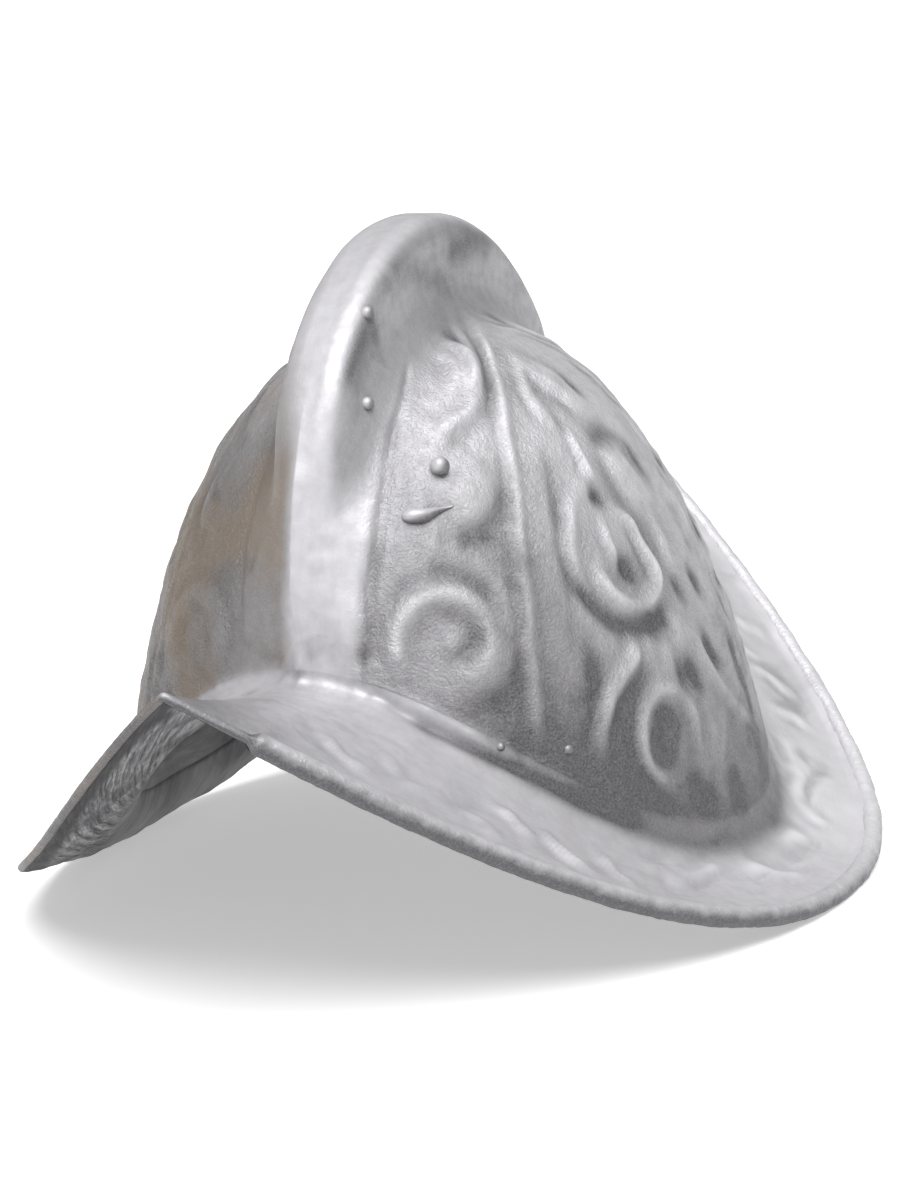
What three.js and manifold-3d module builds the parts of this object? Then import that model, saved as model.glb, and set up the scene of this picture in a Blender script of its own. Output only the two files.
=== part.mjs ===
// Comb morion helmet, embossed and painted silver, resting on its brim.
// Units are millimetres, +Z is up and the front of the helmet points along -Y.
// The origin is on the floor, under the middle of the helmet.

import * as THREE from 'three';
import { mergeVertices } from 'three/addons/utils/BufferGeometryUtils.js';
import Module from 'manifold-3d';

// Clearance between pieces that touch
const SEAM = 0.3;
const EDGE_SEAM = 0.5;

// Rolled border round the brim
const RIM_RADIUS = 3.2;
const RIM_REST_CUT = 0.6;
const RIM_SIDES = 8;

// Outline of the brim, on the centre line of its rolled border
const BRIM_HALF_LENGTH = 177.8;
const BRIM_HALF_WIDTH = 132.4;
const BRIM_TIP_RISE = 100.4;
const BRIM_PLAN_POWER = 2.07;
const BRIM_TIP_POWER = 0.91;
const BRIM_RISE_POWER = 2.44;
const BRIM_WALL = 2.4;
const BRIM_DISH = 2.5;

// Skull: plan at its base, the height of the base over the rim and the height of its top
const SKULL_HALF_WIDTH = 104;
const SKULL_HALF_LENGTH = 101.3;
const SKULL_PLAN_POWER = 1.92;
const SKULL_SIDE_BASE = 12.5;
const SKULL_BASE_RISE = 69.9;
const SKULL_BASE_POWER = 2.52;
const SKULL_HEIGHT = 174;
const SKULL_DOME_POWER = 1.44;
const SKULL_DOME_ROUND = 0.4;
const SKULL_WALL = 2.5;

// Comb: its reach from the middle of the helmet at even turns from front to top
const COMB_CENTRE_HEIGHT = 75;
const COMB_REACH_FOOT = 101.5;
const COMB_REACH_LOW = 109;
const COMB_REACH_HIGH = 128.3;
const COMB_REACH_TOP = 132.4;
const COMB_HALF_THICKNESS = 11.4;
const COMB_BAND_HALF_WIDTH = 20;
const COMB_FILLET = 7;
const COMB_WALL = 2;
const COMB_KEEL_TURN = 28;
const COMB_ROUND_TURN = 50;
const COMB_SLOT_HALF_LENGTH = 66;
const COMB_SLOT_SIDE = 2.5;
const COMB_ROUND_SHARE = 0.6;
const COMB_FILLET_SHARE = 0.4;

// Raised ornament
const RELIEF_WIDTH = 6.5;
const RELIEF_HEIGHT = 2;
const RELIEF_SINK = 0.9;
const BRIM_RELIEF_WIDTH = 5;
const BRIM_RELIEF_HEIGHT = 1.1;
const VOLUTE_RADIUS = 17;
const WELT_WIDTH = 3;
const WELT_HEIGHT = 1;
const WELT_LEVEL = 0.06;
const BAR_END_SHARE = 0.25;
const BRIM_SCROLL_SHARE = 0.27;
const BRIM_SCROLL_STRETCH = 1.5;
const BRIM_SCROLL_INNER = 0.3;

// Cast lumps on the left of the skull and the comb
const BEAD_RADIUS = 3;
const SMALL_BEAD_RADIUS = 2.2;
const DROP_WIDTH = 5;

// Steps of the curved surfaces
const STATIONS = 56;
const SKULL_LEVELS = 8;
const COMB_STATIONS = 32;
const BRIM_BANDS = 3;
const VOLUTE_STEP = 56;

// Height of the rim's centre line over the floor at its lowest point
const RIM_LIFT = RIM_RADIUS - RIM_REST_CUT;

const wasm = await Module();
wasm.setup();

const vec = (x, y, z) => new THREE.Vector3(x, y, z);
const lerp = (a, b, share) => a + (b - a) * share;
const power = (value, exponent) => Math.sign(value) * Math.abs(value) ** exponent;
const range = (count) => Array.from({ length: count }, (unused, index) => index);
const radians = (degrees) => degrees * Math.PI / 180;
const smooth = (low, high, value) => THREE.MathUtils.smoothstep(value, low, high);

// Solids made from grids of points

function solidFrom(points, faces) {
  const corners = faces.flat().flatMap((index) => points[index].toArray());
  const raw = new THREE.BufferGeometry();
  raw.setAttribute('position', new THREE.Float32BufferAttribute(corners, 3));
  const merged = mergeVertices(raw, 1e-4);
  const used = [];
  for (let i = 0; i < merged.index.count; i += 3) {
    const [a, b, c] = [0, 1, 2].map((k) => merged.index.getX(i + k));
    if (a !== b && b !== c && c !== a) used.push(a, b, c);
  }
  return new wasm.Manifold(new wasm.Mesh({
    numProp: 3,
    vertProperties: new Float32Array(merged.attributes.position.array),
    triVerts: new Uint32Array(used),
  }));
}

// A wall between two matching grids; closed joins the last row to the first
function wallSolid(outer, inner, closed) {
  const rows = outer.length;
  const columns = outer[0].length;
  const points = [...outer.flat(), ...inner.flat()];
  const at = (side, row, column) => side * rows * columns + (row % rows) * columns + column;
  const faces = [];
  const quad = (a, b, c, d) => faces.push([a, b, c], [a, c, d]);
  const spans = closed ? rows : rows - 1;
  for (let i = 0; i < spans; i += 1) {
    for (let j = 0; j < columns - 1; j += 1) {
      quad(at(0, i, j), at(0, i + 1, j), at(0, i + 1, j + 1), at(0, i, j + 1));
      quad(at(1, i, j), at(1, i, j + 1), at(1, i + 1, j + 1), at(1, i + 1, j));
    }
    quad(at(0, i, 0), at(1, i, 0), at(1, i + 1, 0), at(0, i + 1, 0));
    const last = columns - 1;
    quad(at(0, i, last), at(0, i + 1, last), at(1, i + 1, last), at(1, i, last));
  }
  if (!closed) {
    for (let j = 0; j < columns - 1; j += 1) {
      const end = rows - 1;
      quad(at(0, 0, j), at(0, 0, j + 1), at(1, 0, j + 1), at(1, 0, j));
      quad(at(0, end, j), at(1, end, j), at(1, end, j + 1), at(0, end, j + 1));
    }
  }
  return solidFrom(points, faces);
}

// A bar through closed sections; a ring when its last section meets its first
function barSolid(sections, ring) {
  const count = sections.length;
  const sides = sections[0].length;
  const points = sections.flat();
  const at = (row, column) => (row % count) * sides + (column % sides);
  const faces = [];
  const spans = ring ? count : count - 1;
  for (let i = 0; i < spans; i += 1) {
    for (let j = 0; j < sides; j += 1) {
      faces.push([at(i, j), at(i + 1, j), at(i + 1, j + 1)], [at(i, j), at(i + 1, j + 1), at(i, j + 1)]);
    }
  }
  if (!ring) {
    for (let j = 1; j < sides - 1; j += 1) {
      faces.push([at(0, 0), at(0, j), at(0, j + 1)]);
      faces.push([at(count - 1, 0), at(count - 1, j + 1), at(count - 1, j)]);
    }
  }
  return solidFrom(points, faces);
}

function meshFrom(name, solid, material) {
  const body = solid.getMesh();
  const geometry = new THREE.BufferGeometry();
  geometry.setAttribute('position', new THREE.BufferAttribute(new Float32Array(body.vertProperties), 3));
  geometry.setIndex(new THREE.BufferAttribute(new Uint32Array(body.triVerts), 1));
  geometry.computeVertexNormals();
  const mesh = new THREE.Mesh(geometry, material);
  mesh.name = name;
  return mesh;
}

// Skull surface

function skullBase(turn, inset = 0) {
  const share = Math.cos(turn);
  const y = -(SKULL_HALF_LENGTH - inset) * power(share, 2 / SKULL_PLAN_POWER);
  const x = (SKULL_HALF_WIDTH - inset) * power(Math.sin(turn), 2 / SKULL_PLAN_POWER);
  return vec(x, y, baseHeight(Math.abs(y) / (SKULL_HALF_LENGTH - inset)));
}

function baseHeight(lengthShare) {
  return RIM_LIFT + SKULL_SIDE_BASE + SKULL_BASE_RISE * lengthShare ** SKULL_BASE_POWER;
}

function domeShare(level) {
  return Math.max(1 - level ** SKULL_DOME_POWER, 0) ** SKULL_DOME_ROUND;
}

function skullPoint(turn, level, inset = 0) {
  const base = skullBase(turn, inset);
  const share = domeShare(level);
  const top = RIM_LIFT + SKULL_HEIGHT - inset;
  return vec(base.x * share, base.y * share, lerp(base.z, top, level));
}

// Negative inside the skull's outer face and positive outside
function skullSide(point) {
  const x = Math.abs(point.x) / SKULL_HALF_WIDTH;
  const y = Math.abs(point.y) / SKULL_HALF_LENGTH;
  const share = (x ** SKULL_PLAN_POWER + y ** SKULL_PLAN_POWER) ** (1 / SKULL_PLAN_POWER) + 1e-9;
  const base = baseHeight(y / share);
  const level = (point.z - base) / (RIM_LIFT + SKULL_HEIGHT - base);
  return level >= 1 ? share + level : share - domeShare(Math.max(level, 0));
}

// Distance from a start along a direction to the skull's outer face
function reachSkull(start, direction) {
  let low = 0;
  let high = 2 * SKULL_HEIGHT;
  for (let step = 0; step < 40; step += 1) {
    const middle = (low + high) / 2;
    if (skullSide(start.clone().addScaledVector(direction, middle)) < 0) low = middle;
    else high = middle;
  }
  return low;
}

const heart = vec(0, 0, RIM_LIFT + COMB_CENTRE_HEIGHT);

function ontoSkull(point) {
  const direction = point.clone().sub(heart).normalize();
  return heart.clone().addScaledVector(direction, reachSkull(heart, direction));
}

function skullNormal(turn, level) {
  const step = 0.02;
  const along = skullPoint(turn + step, level).sub(skullPoint(turn - step, level));
  const up = skullPoint(turn, Math.min(level + step, 1)).sub(skullPoint(turn, Math.max(level - step, 0)));
  return along.cross(up).normalize();
}

// Brim surface, from the skull's inner edge out to the rolled border

function rimPoint(turn) {
  const share = Math.abs(Math.cos(turn));
  const y = -BRIM_HALF_LENGTH * Math.cos(turn);
  const spread = Math.max(1 - share ** BRIM_PLAN_POWER, 0) ** BRIM_TIP_POWER;
  const x = BRIM_HALF_WIDTH * spread * Math.sign(Math.sin(turn) || 1);
  return vec(x, y, RIM_LIFT + BRIM_TIP_RISE * share ** BRIM_RISE_POWER);
}

function rimTangent(turn) {
  return rimPoint(turn + 0.03).sub(rimPoint(turn - 0.03)).normalize();
}

function brimPoint(turn, share) {
  const base = skullBase(turn);
  const rim = rimPoint(turn);
  base.z -= SEAM;
  const outward = rim.clone().sub(base);
  const slant = outward.clone().normalize().cross(rimTangent(turn)).length();
  const reach = outward.length() - (RIM_RADIUS + EDGE_SEAM) / slant;
  const sag = BRIM_DISH * Math.sin(Math.PI * share);
  return base.addScaledVector(outward.normalize(), reach * share).add(vec(0, 0, -sag));
}

const turns = (count) => range(count).map((index) => index * 2 * Math.PI / count);

function brimGrid() {
  return turns(STATIONS).map((turn) => {
    const lip = skullBase(turn, SKULL_WALL);
    lip.z = skullBase(turn).z - SEAM;
    const bands = range(BRIM_BANDS + 1).map((band) => brimPoint(turn, band / BRIM_BANDS));
    return [lip, ...bands];
  });
}

function gridNormals(grid) {
  const rows = grid.length;
  const columns = grid[0].length;
  return grid.map((row, i) => row.map((unused, j) => {
    const along = grid[(i + 1) % rows][j].clone().sub(grid[(i + rows - 1) % rows][j]);
    const across = row[Math.min(j + 1, columns - 1)].clone().sub(row[Math.max(j - 1, 0)]);
    return across.cross(along).normalize();
  }));
}

function shiftGrid(grid, distance) {
  const normals = gridNormals(grid);
  return grid.map((row, i) => row.map((point, j) => (
    point.clone().addScaledVector(normals[i][j], distance)
  )));
}

// Raised ornament: ridged bars sunk a little into the wall

function ornamentBar(path, normals, width, height, sink) {
  const last = path.length - 1;
  const sections = path.map((point, index) => {
    const ahead = path[Math.min(index + 1, last)].clone().sub(path[Math.max(index - 1, 0)]);
    const normal = normals[index];
    const side = ahead.cross(normal).normalize();
    const taper = lerp(BAR_END_SHARE, 1, Math.min(1, 3 * Math.min(index, last - index) / last));
    const corner = (across, up) => point.clone()
      .addScaledVector(side, across * width * taper / 2)
      .addScaledVector(normal, up);
    return [corner(-1, -sink), corner(1, -sink), corner(0, height * taper)];
  });
  return barSolid(sections, false);
}

// The named columns are shares of the skull: turn from the front in degrees and level up its face
const VOLUTES = [
  { turn: 26, level: 0.28, size: 1, start: -60, sweep: 560, inner: 0.22 },
  { turn: 68, level: 0.52, size: 0.62, start: 100, sweep: 400, inner: 0.3 },
  { turn: 65, level: 0.22, size: 0.6, start: 180, sweep: -420, inner: 0.3 },
];
// Rib, scroll, upper leaf and side leaf: each point is a turn and a level
const STROKES = [
  { points: [[41, 0.12], [42.5, 0.35], [45, 0.58], [50, 0.78], [62, 0.92]] },
  { points: [[27, 0.5], [38, 0.56], [37, 0.7], [26, 0.74], [30, 0.84], [44, 0.88]] },
  { points: [[57, 0.5], [58, 0.66], [66, 0.8], [70, 0.92]] },
  { points: [[52, 0.22], [57, 0.33], [60, 0.43]] },
];

// Cast lumps, as turn from the front in degrees and level up the skull, or share of the comb's half section
const BALL_MARK = { turn: 27.5, level: 0.7 };
const DROP_MARKS = [
  { turn: 19.5, level: 0.56 },
  { turn: 24, level: 0.575 },
  { turn: 29.5, level: 0.61 },
];
const COMB_BEADS = [
  { turn: 56, share: 0.8 },
  { turn: 66, share: 0.4 },
];

const mirrorTurns = [
  (turn) => turn,
  (turn) => 2 * Math.PI - turn,
  (turn) => Math.PI - turn,
  (turn) => Math.PI + turn,
];

function volutePath(row, place) {
  const turn = place(radians(row.turn));
  const centre = skullPoint(turn, row.level);
  const normal = skullNormal(turn, row.level);
  const front = Math.sign(place(1) - place(0)) || 1;
  const along = vec(0, 0, 1).cross(normal).normalize().multiplyScalar(front);
  const up = vec(0, 0, 1).addScaledVector(normal, -normal.z).normalize();
  const steps = Math.round(Math.abs(row.sweep) / VOLUTE_STEP);
  return range(steps + 1).map((index) => {
    const share = index / steps;
    const angle = radians(row.start + row.sweep * share);
    const radius = VOLUTE_RADIUS * row.size * lerp(1, row.inner, share);
    return ontoSkull(centre.clone()
      .addScaledVector(along, radius * Math.cos(angle))
      .addScaledVector(up, radius * Math.sin(angle)));
  });
}

function strokePath(row, place) {
  const marks = row.points.map(([turn, level]) => vec(turn, level, 0));
  const curve = new THREE.CatmullRomCurve3(marks, false, 'centripetal');
  const steps = 2 * (marks.length - 1);
  return curve.getPoints(steps).map((mark) => skullPoint(place(radians(mark.x)), mark.y));
}

// Outward normals of points on the skull, from its side function
function normalsAt(path) {
  const step = 0.5;
  const axes = [vec(step, 0, 0), vec(0, step, 0), vec(0, 0, step)];
  return path.map((point) => {
    const slope = axes.map((axis) => (
      skullSide(point.clone().add(axis)) - skullSide(point.clone().sub(axis))
    ));
    return vec(...slope).normalize();
  });
}

function skullOrnament() {
  const bars = [];
  for (const place of mirrorTurns) {
    const volutes = VOLUTES.map((row) => volutePath(row, place));
    const strokes = STROKES.map((row) => strokePath(row, place));
    for (const path of [...volutes, ...strokes]) {
      bars.push(ornamentBar(path, normalsAt(path), RELIEF_WIDTH, RELIEF_HEIGHT, RELIEF_SINK));
    }
  }
  return bars;
}

// Low bead round the foot of each side of the skull, clear of the comb's band
function weltBars() {
  const start = Math.asin(Math.min(1, (COMB_BAND_HALF_WIDTH + 2 * RELIEF_HEIGHT) / SKULL_HALF_WIDTH));
  return [0, Math.PI].map((shift) => {
    const steps = STATIONS / 4;
    const path = range(steps + 1).map((index) => {
      const turn = shift + lerp(start, Math.PI - start, index / steps);
      return skullPoint(turn, WELT_LEVEL);
    });
    return ornamentBar(path, normalsAt(path), WELT_WIDTH, WELT_HEIGHT, RELIEF_SINK);
  });
}

// A three.js geometry as a solid
function solidOf(geometry) {
  const position = geometry.attributes.position;
  const points = range(position.count).map((index) => vec(0, 0, 0).fromBufferAttribute(position, index));
  const corner = (face, k) => geometry.index.getX(3 * face + k);
  const faces = range(geometry.index.count / 3).map((face) => [0, 1, 2].map((k) => corner(face, k)));
  return solidFrom(points, faces);
}

function ballAt(point, radius) {
  return solidOf(new THREE.SphereGeometry(radius, 10, 7).translate(point.x, point.y, point.z));
}

// Skull: one bowl, slotted under the comb

function skullSlot() {
  const width = 2 * (COMB_HALF_THICKNESS - COMB_SLOT_SIDE);
  const slot = new THREE.BoxGeometry(width, 2 * COMB_SLOT_HALF_LENGTH, SKULL_HEIGHT);
  return solidOf(slot.translate(0, 0, RIM_LIFT + SKULL_HEIGHT));
}

function makeSkull() {
  const levels = range(SKULL_LEVELS + 1).map((index) => {
    const narrowing = Math.cos(Math.PI / 2 * index / SKULL_LEVELS);
    return (1 - Math.max(narrowing, 0) ** (1 / SKULL_DOME_ROUND)) ** (1 / SKULL_DOME_POWER);
  });
  const face = (inset) => turns(STATIONS).map((turn) => {
    const column = levels.map((level) => skullPoint(turn, level, inset));
    column[0].z = skullBase(turn).z;
    return column;
  });
  const drop = DROP_MARKS.map((mark) => skullPoint(radians(mark.turn), mark.level));
  const lumps = [
    ballAt(skullPoint(radians(BALL_MARK.turn), BALL_MARK.level), BEAD_RADIUS),
    ornamentBar(drop, normalsAt(drop), DROP_WIDTH, DROP_WIDTH / 2, RELIEF_SINK),
  ];
  return [...skullOrnament(), ...weltBars(), ...lumps]
    .reduce((whole, bar) => whole.add(bar), wallSolid(face(0), face(SKULL_WALL), true))
    .subtract(skullSlot());
}

// Comb: a hollow crest whose band laps the skull from the front of the brim to its back

const combReach = (() => {
  const reaches = [COMB_REACH_FOOT, COMB_REACH_LOW, COMB_REACH_HIGH, COMB_REACH_TOP];
  const marks = [...reaches, ...reaches.slice(0, -1).reverse()].map((reach, index) => vec(index, reach, 0));
  const curve = new THREE.SplineCurve(marks.map((mark) => new THREE.Vector2(mark.x, mark.y)));
  return (lift) => curve.getPoint(THREE.MathUtils.clamp(lift / Math.PI, 0, 1)).y;
})();

const combDirection = (lift) => vec(0, -Math.cos(lift), Math.sin(lift));

function skullReachAt(x, lift) {
  return reachSkull(heart.clone().setX(x), combDirection(lift));
}

// Half section of the comb, from its top out to the edge of its band
function combSection(lift, wall) {
  const lap = SEAM + wall;
  const half = COMB_HALF_THICKNESS - COMB_WALL + wall;
  const top = Math.max(combReach(lift) - COMB_WALL + wall, skullReachAt(0, lift) + lap);
  const fromFront = Math.min(lift, Math.PI - lift);
  const keel = 1 - smooth(radians(COMB_KEEL_TURN), radians(COMB_ROUND_TURN), fromFront);
  const foot = (x) => skullReachAt(x, lift) + lap;
  const stand = Math.max(top - foot(half), 0);
  const drop = Math.min(half, COMB_ROUND_SHARE * stand);
  const fillet = Math.min(COMB_FILLET, COMB_FILLET_SHARE * stand);
  const round = [0, 30, 60, 90].map((angle) => [
    half * Math.sin(radians(angle)),
    top - drop * (1 - Math.cos(radians(angle))),
  ]);
  const skirt = [[0, 1], [0.3, 0.3], [1, 0]].map(([out, up]) => {
    const x = half + 0.5 * wall + out * Math.min(COMB_FILLET, COMB_BAND_HALF_WIDTH - half - wall);
    return [x, foot(x) + up * fillet];
  });
  const edge = [COMB_BAND_HALF_WIDTH, foot(COMB_BAND_HALF_WIDTH)];
  const end = edge[1];
  return [...round, ...skirt, edge].map(([x, reach]) => {
    const ridge = lerp(top, end, x / COMB_BAND_HALF_WIDTH);
    return vec(x, 0, lerp(reach, Math.max(ridge, foot(x)), keel));
  });
}

function combGrid(wall) {
  const foot = skullBase(0);
  const start = Math.atan2(foot.z - heart.z, -foot.y) - radians(8);
  return range(COMB_STATIONS + 1).map((index) => {
    const lift = lerp(start, Math.PI - start, index / COMB_STATIONS);
    const half = combSection(lift, wall);
    const right = half.slice(1).map((point) => point.clone().setX(-point.x));
    return [...half.reverse(), ...right].map((point) => (
      heart.clone().setX(point.x).addScaledVector(combDirection(lift), point.z)
    ));
  });
}

// The space of the brim and its clearance, which the comb's feet stand on
function brimSeat() {
  const depth = COMB_BAND_HALF_WIDTH;
  return wallSolid(shiftGrid(brimGrid(), -depth), shiftGrid(brimGrid(), SEAM), true);
}

function makeComb() {
  const crest = wallSolid(combGrid(COMB_WALL), combGrid(0), false);
  const beads = COMB_BEADS.map(({ turn, share }) => {
    const section = combSection(radians(turn), COMB_WALL);
    const mark = section[Math.round(share * (section.length - 1))];
    return ballAt(
      heart.clone().setX(mark.x).addScaledVector(combDirection(radians(turn)), mark.z),
      SMALL_BEAD_RADIUS,
    );
  });
  return beads.reduce((whole, bead) => whole.add(bead), crest).subtract(brimSeat());
}

// Brim: a sheet folded up to a peak at the front and the back, embossed with scrolls

const BRIM_SCROLLS = [
  { turn: 22, size: 1, start: 200, sweep: 430 },
  { turn: 45, size: 0.85, start: 20, sweep: -430 },
  { turn: 66, size: 0.7, start: 200, sweep: 430 },
];

function brimScroll(row, place) {
  const turn = place(radians(row.turn));
  const across = brimPoint(turn, 1).distanceTo(brimPoint(turn, 0));
  const along = brimPoint(turn + 0.05, 0.5).distanceTo(brimPoint(turn - 0.05, 0.5)) / 0.1;
  const steps = Math.round(Math.abs(row.sweep) / VOLUTE_STEP);
  const path = range(steps + 1).map((index) => {
    const share = index / steps;
    const angle = radians(row.start + row.sweep * share);
    const radius = across * BRIM_SCROLL_SHARE * row.size * lerp(1, BRIM_SCROLL_INNER, share);
    const shift = place(1) - place(0);
    const at = turn + shift * radius * BRIM_SCROLL_STRETCH * Math.cos(angle) / along;
    return { turn: at, share: 0.5 + radius * Math.sin(angle) / across };
  });
  const points = path.map((mark) => brimPoint(mark.turn, mark.share));
  const normals = path.map((mark) => {
    const tangent = brimPoint(mark.turn + 0.01, mark.share).sub(brimPoint(mark.turn - 0.01, mark.share));
    const outward = brimPoint(mark.turn, mark.share + 0.02).sub(brimPoint(mark.turn, mark.share - 0.02));
    return outward.cross(tangent).normalize();
  });
  return ornamentBar(points, normals, BRIM_RELIEF_WIDTH, BRIM_RELIEF_HEIGHT, RELIEF_SINK);
}

function makeBrim() {
  const grid = brimGrid();
  const sheet = wallSolid(shiftGrid(grid, -BRIM_WALL), grid, true);
  const scrolls = mirrorTurns.flatMap((place) => BRIM_SCROLLS.map((row) => brimScroll(row, place)));
  return scrolls.reduce((whole, scroll) => whole.add(scroll), sheet);
}

// Rolled border: a rod round the brim's edge, flat where the helmet rests

function makeRim() {
  const count = STATIONS;
  const sections = turns(count).map((turn) => {
    const tangent = rimTangent(turn);
    const out = rimPoint(turn).sub(skullBase(turn));
    out.addScaledVector(tangent, -out.dot(tangent)).normalize();
    const up = out.clone().cross(tangent).normalize();
    return range(RIM_SIDES).map((side) => {
      const angle = 2 * Math.PI * (side + 0.5) / RIM_SIDES;
      return rimPoint(turn)
        .addScaledVector(out, RIM_RADIUS * Math.cos(angle))
        .addScaledVector(up, RIM_RADIUS * Math.sin(angle));
    });
  });
  const floor = new THREE.BoxGeometry(3 * BRIM_HALF_WIDTH, 3 * BRIM_HALF_LENGTH, 2 * RIM_RADIUS);
  return barSolid(sections, true).subtract(solidOf(floor.translate(0, 0, -RIM_RADIUS)));
}

const silver = new THREE.MeshStandardMaterial({ color: 0xb9b8be, roughness: 0.42, metalness: 0.75 });
const brightSilver = new THREE.MeshStandardMaterial({ color: 0xc9c9d0, roughness: 0.38, metalness: 0.78 });
const brushedRim = new THREE.MeshStandardMaterial({ color: 0x9c9ba1, roughness: 0.5, metalness: 0.7 });

const helmet = new THREE.Group();
helmet.add(meshFrom('skull', makeSkull(), silver));
helmet.add(meshFrom('comb', makeComb(), brightSilver));
helmet.add(meshFrom('brim', makeBrim(), silver));
helmet.add(meshFrom('rim_roll', makeRim(), brushedRim));

export default helmet;
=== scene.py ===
import math

import bpy
import numpy as np
from mathutils import Matrix, Vector
from mathutils.bvhtree import BVHTree


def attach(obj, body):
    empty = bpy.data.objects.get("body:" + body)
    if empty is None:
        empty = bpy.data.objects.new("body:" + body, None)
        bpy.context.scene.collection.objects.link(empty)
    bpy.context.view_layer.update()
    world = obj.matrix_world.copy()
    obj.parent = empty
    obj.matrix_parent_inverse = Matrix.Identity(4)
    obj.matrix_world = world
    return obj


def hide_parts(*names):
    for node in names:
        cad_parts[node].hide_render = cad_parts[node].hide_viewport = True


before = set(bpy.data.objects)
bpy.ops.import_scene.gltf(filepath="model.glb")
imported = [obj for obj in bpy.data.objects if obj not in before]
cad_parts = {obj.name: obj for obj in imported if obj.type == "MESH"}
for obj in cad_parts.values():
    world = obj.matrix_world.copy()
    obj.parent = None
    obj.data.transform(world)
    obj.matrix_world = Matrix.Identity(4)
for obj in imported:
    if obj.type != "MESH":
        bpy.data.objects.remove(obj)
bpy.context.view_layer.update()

MM = 0.001

# Sizes of the helmet in millimetres, as in the frame
RIM_RADIUS = 3.2
RIM_LIFT = 2.6
CURL_TURN = 20.5
THIN_RIM_RADIUS = 1.35
BRIM_HALF_LENGTH = 177.8
BRIM_HALF_WIDTH = 132.4
BRIM_TIP_RISE = 100.4
BRIM_PLAN_POWER = 2.07
BRIM_TIP_POWER = 0.91
BRIM_RISE_POWER = 2.44
BRIM_WALL = 2.4
# The rim's flare and upward wave on the helmet's right, as the photograph shows them
FAR_FLARE = 3.2
FAR_FLARE_TURN = 298.0
FAR_FLARE_SPREAD = 10.0
FAR_WAVE = 3.6
FAR_WAVE_TURN = 285.0
FAR_WAVE_SPREAD = 12.0
BRIM_DISH = 2.5
SKULL_HALF_WIDTH = 104.0
SKULL_HALF_LENGTH = 101.3
SKULL_PLAN_POWER = 1.92
SKULL_SIDE_BASE = 12.5
SKULL_BASE_RISE = 69.9
SKULL_BASE_POWER = 2.52
SKULL_HEIGHT = 174.0
SKULL_DOME_POWER = 1.44
SKULL_DOME_ROUND = 0.4
SKULL_WALL = 2.5
COMB_CENTRE_HEIGHT = 75.0
COMB_REACH = (101.0, 110.0, 125.0, 132.0, 124.8, 110.8, 101.0)
COMB_HALF_THICKNESS = 11.4
COMB_CORNER = 7.5
COMB_BAND_HALF_WIDTH = 20.0
COMB_BAND_SINK = 0.5
COMB_KEEL_TURN = 28.0
COMB_ROUND_TURN = 50.0
COMB_KEEL_RISE = 2.2
COMB_CREASE_SHIFT = 2.4
COMB_FILLET = 15.0

# The photograph's frame and the camera that took it
PHOTO_WIDTH = 901
PHOTO_HEIGHT = 1200
PHOTO_FOCAL = 3299.0
CAMERA_AZIMUTH = 24.65
CAMERA_ELEVATION = 12.66
CAMERA_ROLL = -4.45
CAMERA_DISTANCE = 1044.1
CAMERA_AIM_SIDE = 4.41
CAMERA_AIM_HEIGHT = 84.65 + RIM_LIFT

HEART = np.array([0.0, 0.0, RIM_LIFT + COMB_CENTRE_HEIGHT])


def smooth(low, high, value):
    share = np.clip((value - low) / (high - low), 0, 1)
    return share * share * (3 - 2 * share)


def unit(vectors):
    return vectors / np.maximum(np.linalg.norm(vectors, axis=-1, keepdims=True), 1e-12)


# Photograph camera

def camera_axes():
    azimuth, elevation, roll = (math.radians(v) for v in (CAMERA_AZIMUTH, CAMERA_ELEVATION, CAMERA_ROLL))
    back = np.array([
        math.sin(azimuth) * math.cos(elevation),
        -math.cos(azimuth) * math.cos(elevation),
        math.sin(elevation),
    ])
    level_right = np.array([math.cos(azimuth), math.sin(azimuth), 0.0])
    level_up = np.cross(back, level_right)
    right = level_right * math.cos(roll) + level_up * math.sin(roll)
    up = level_up * math.cos(roll) - level_right * math.sin(roll)
    place = np.array([0, 0, CAMERA_AIM_HEIGHT]) + level_right * CAMERA_AIM_SIDE + back * CAMERA_DISTANCE
    return right, up, back, place


def to_photo(points):
    """Photograph pixel of each point, and its distance from the camera."""
    right, up, back, place = camera_axes()
    from_camera = points - place
    depth = -from_camera @ back
    x = PHOTO_WIDTH / 2 + PHOTO_FOCAL * (from_camera @ right) / depth
    y = PHOTO_HEIGHT / 2 - PHOTO_FOCAL * (from_camera @ up) / depth
    return np.stack([x, y], -1), depth


# Skull

def base_height(length_share):
    return RIM_LIFT + SKULL_SIDE_BASE + SKULL_BASE_RISE * length_share ** SKULL_BASE_POWER


def skull_base(turn, inset=0.0):
    plan = 2 / SKULL_PLAN_POWER
    cos, sin = np.cos(turn), np.sin(turn)
    y = -(SKULL_HALF_LENGTH - inset) * np.sign(cos) * np.abs(cos) ** plan
    x = (SKULL_HALF_WIDTH - inset) * np.sign(sin) * np.abs(sin) ** plan
    return np.stack([x, y, base_height(np.abs(y) / (SKULL_HALF_LENGTH - inset))], -1)


def dome_share(level):
    return np.maximum(1 - np.clip(level, 0, 1) ** SKULL_DOME_POWER, 0) ** SKULL_DOME_ROUND


def skull_point(turn, level, inset=0.0):
    base = skull_base(turn, inset)
    share = dome_share(level)
    top = RIM_LIFT + SKULL_HEIGHT - inset
    height = base[..., 2] + (top - base[..., 2]) * level
    return np.stack([base[..., 0] * share, base[..., 1] * share, height], -1)


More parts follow.
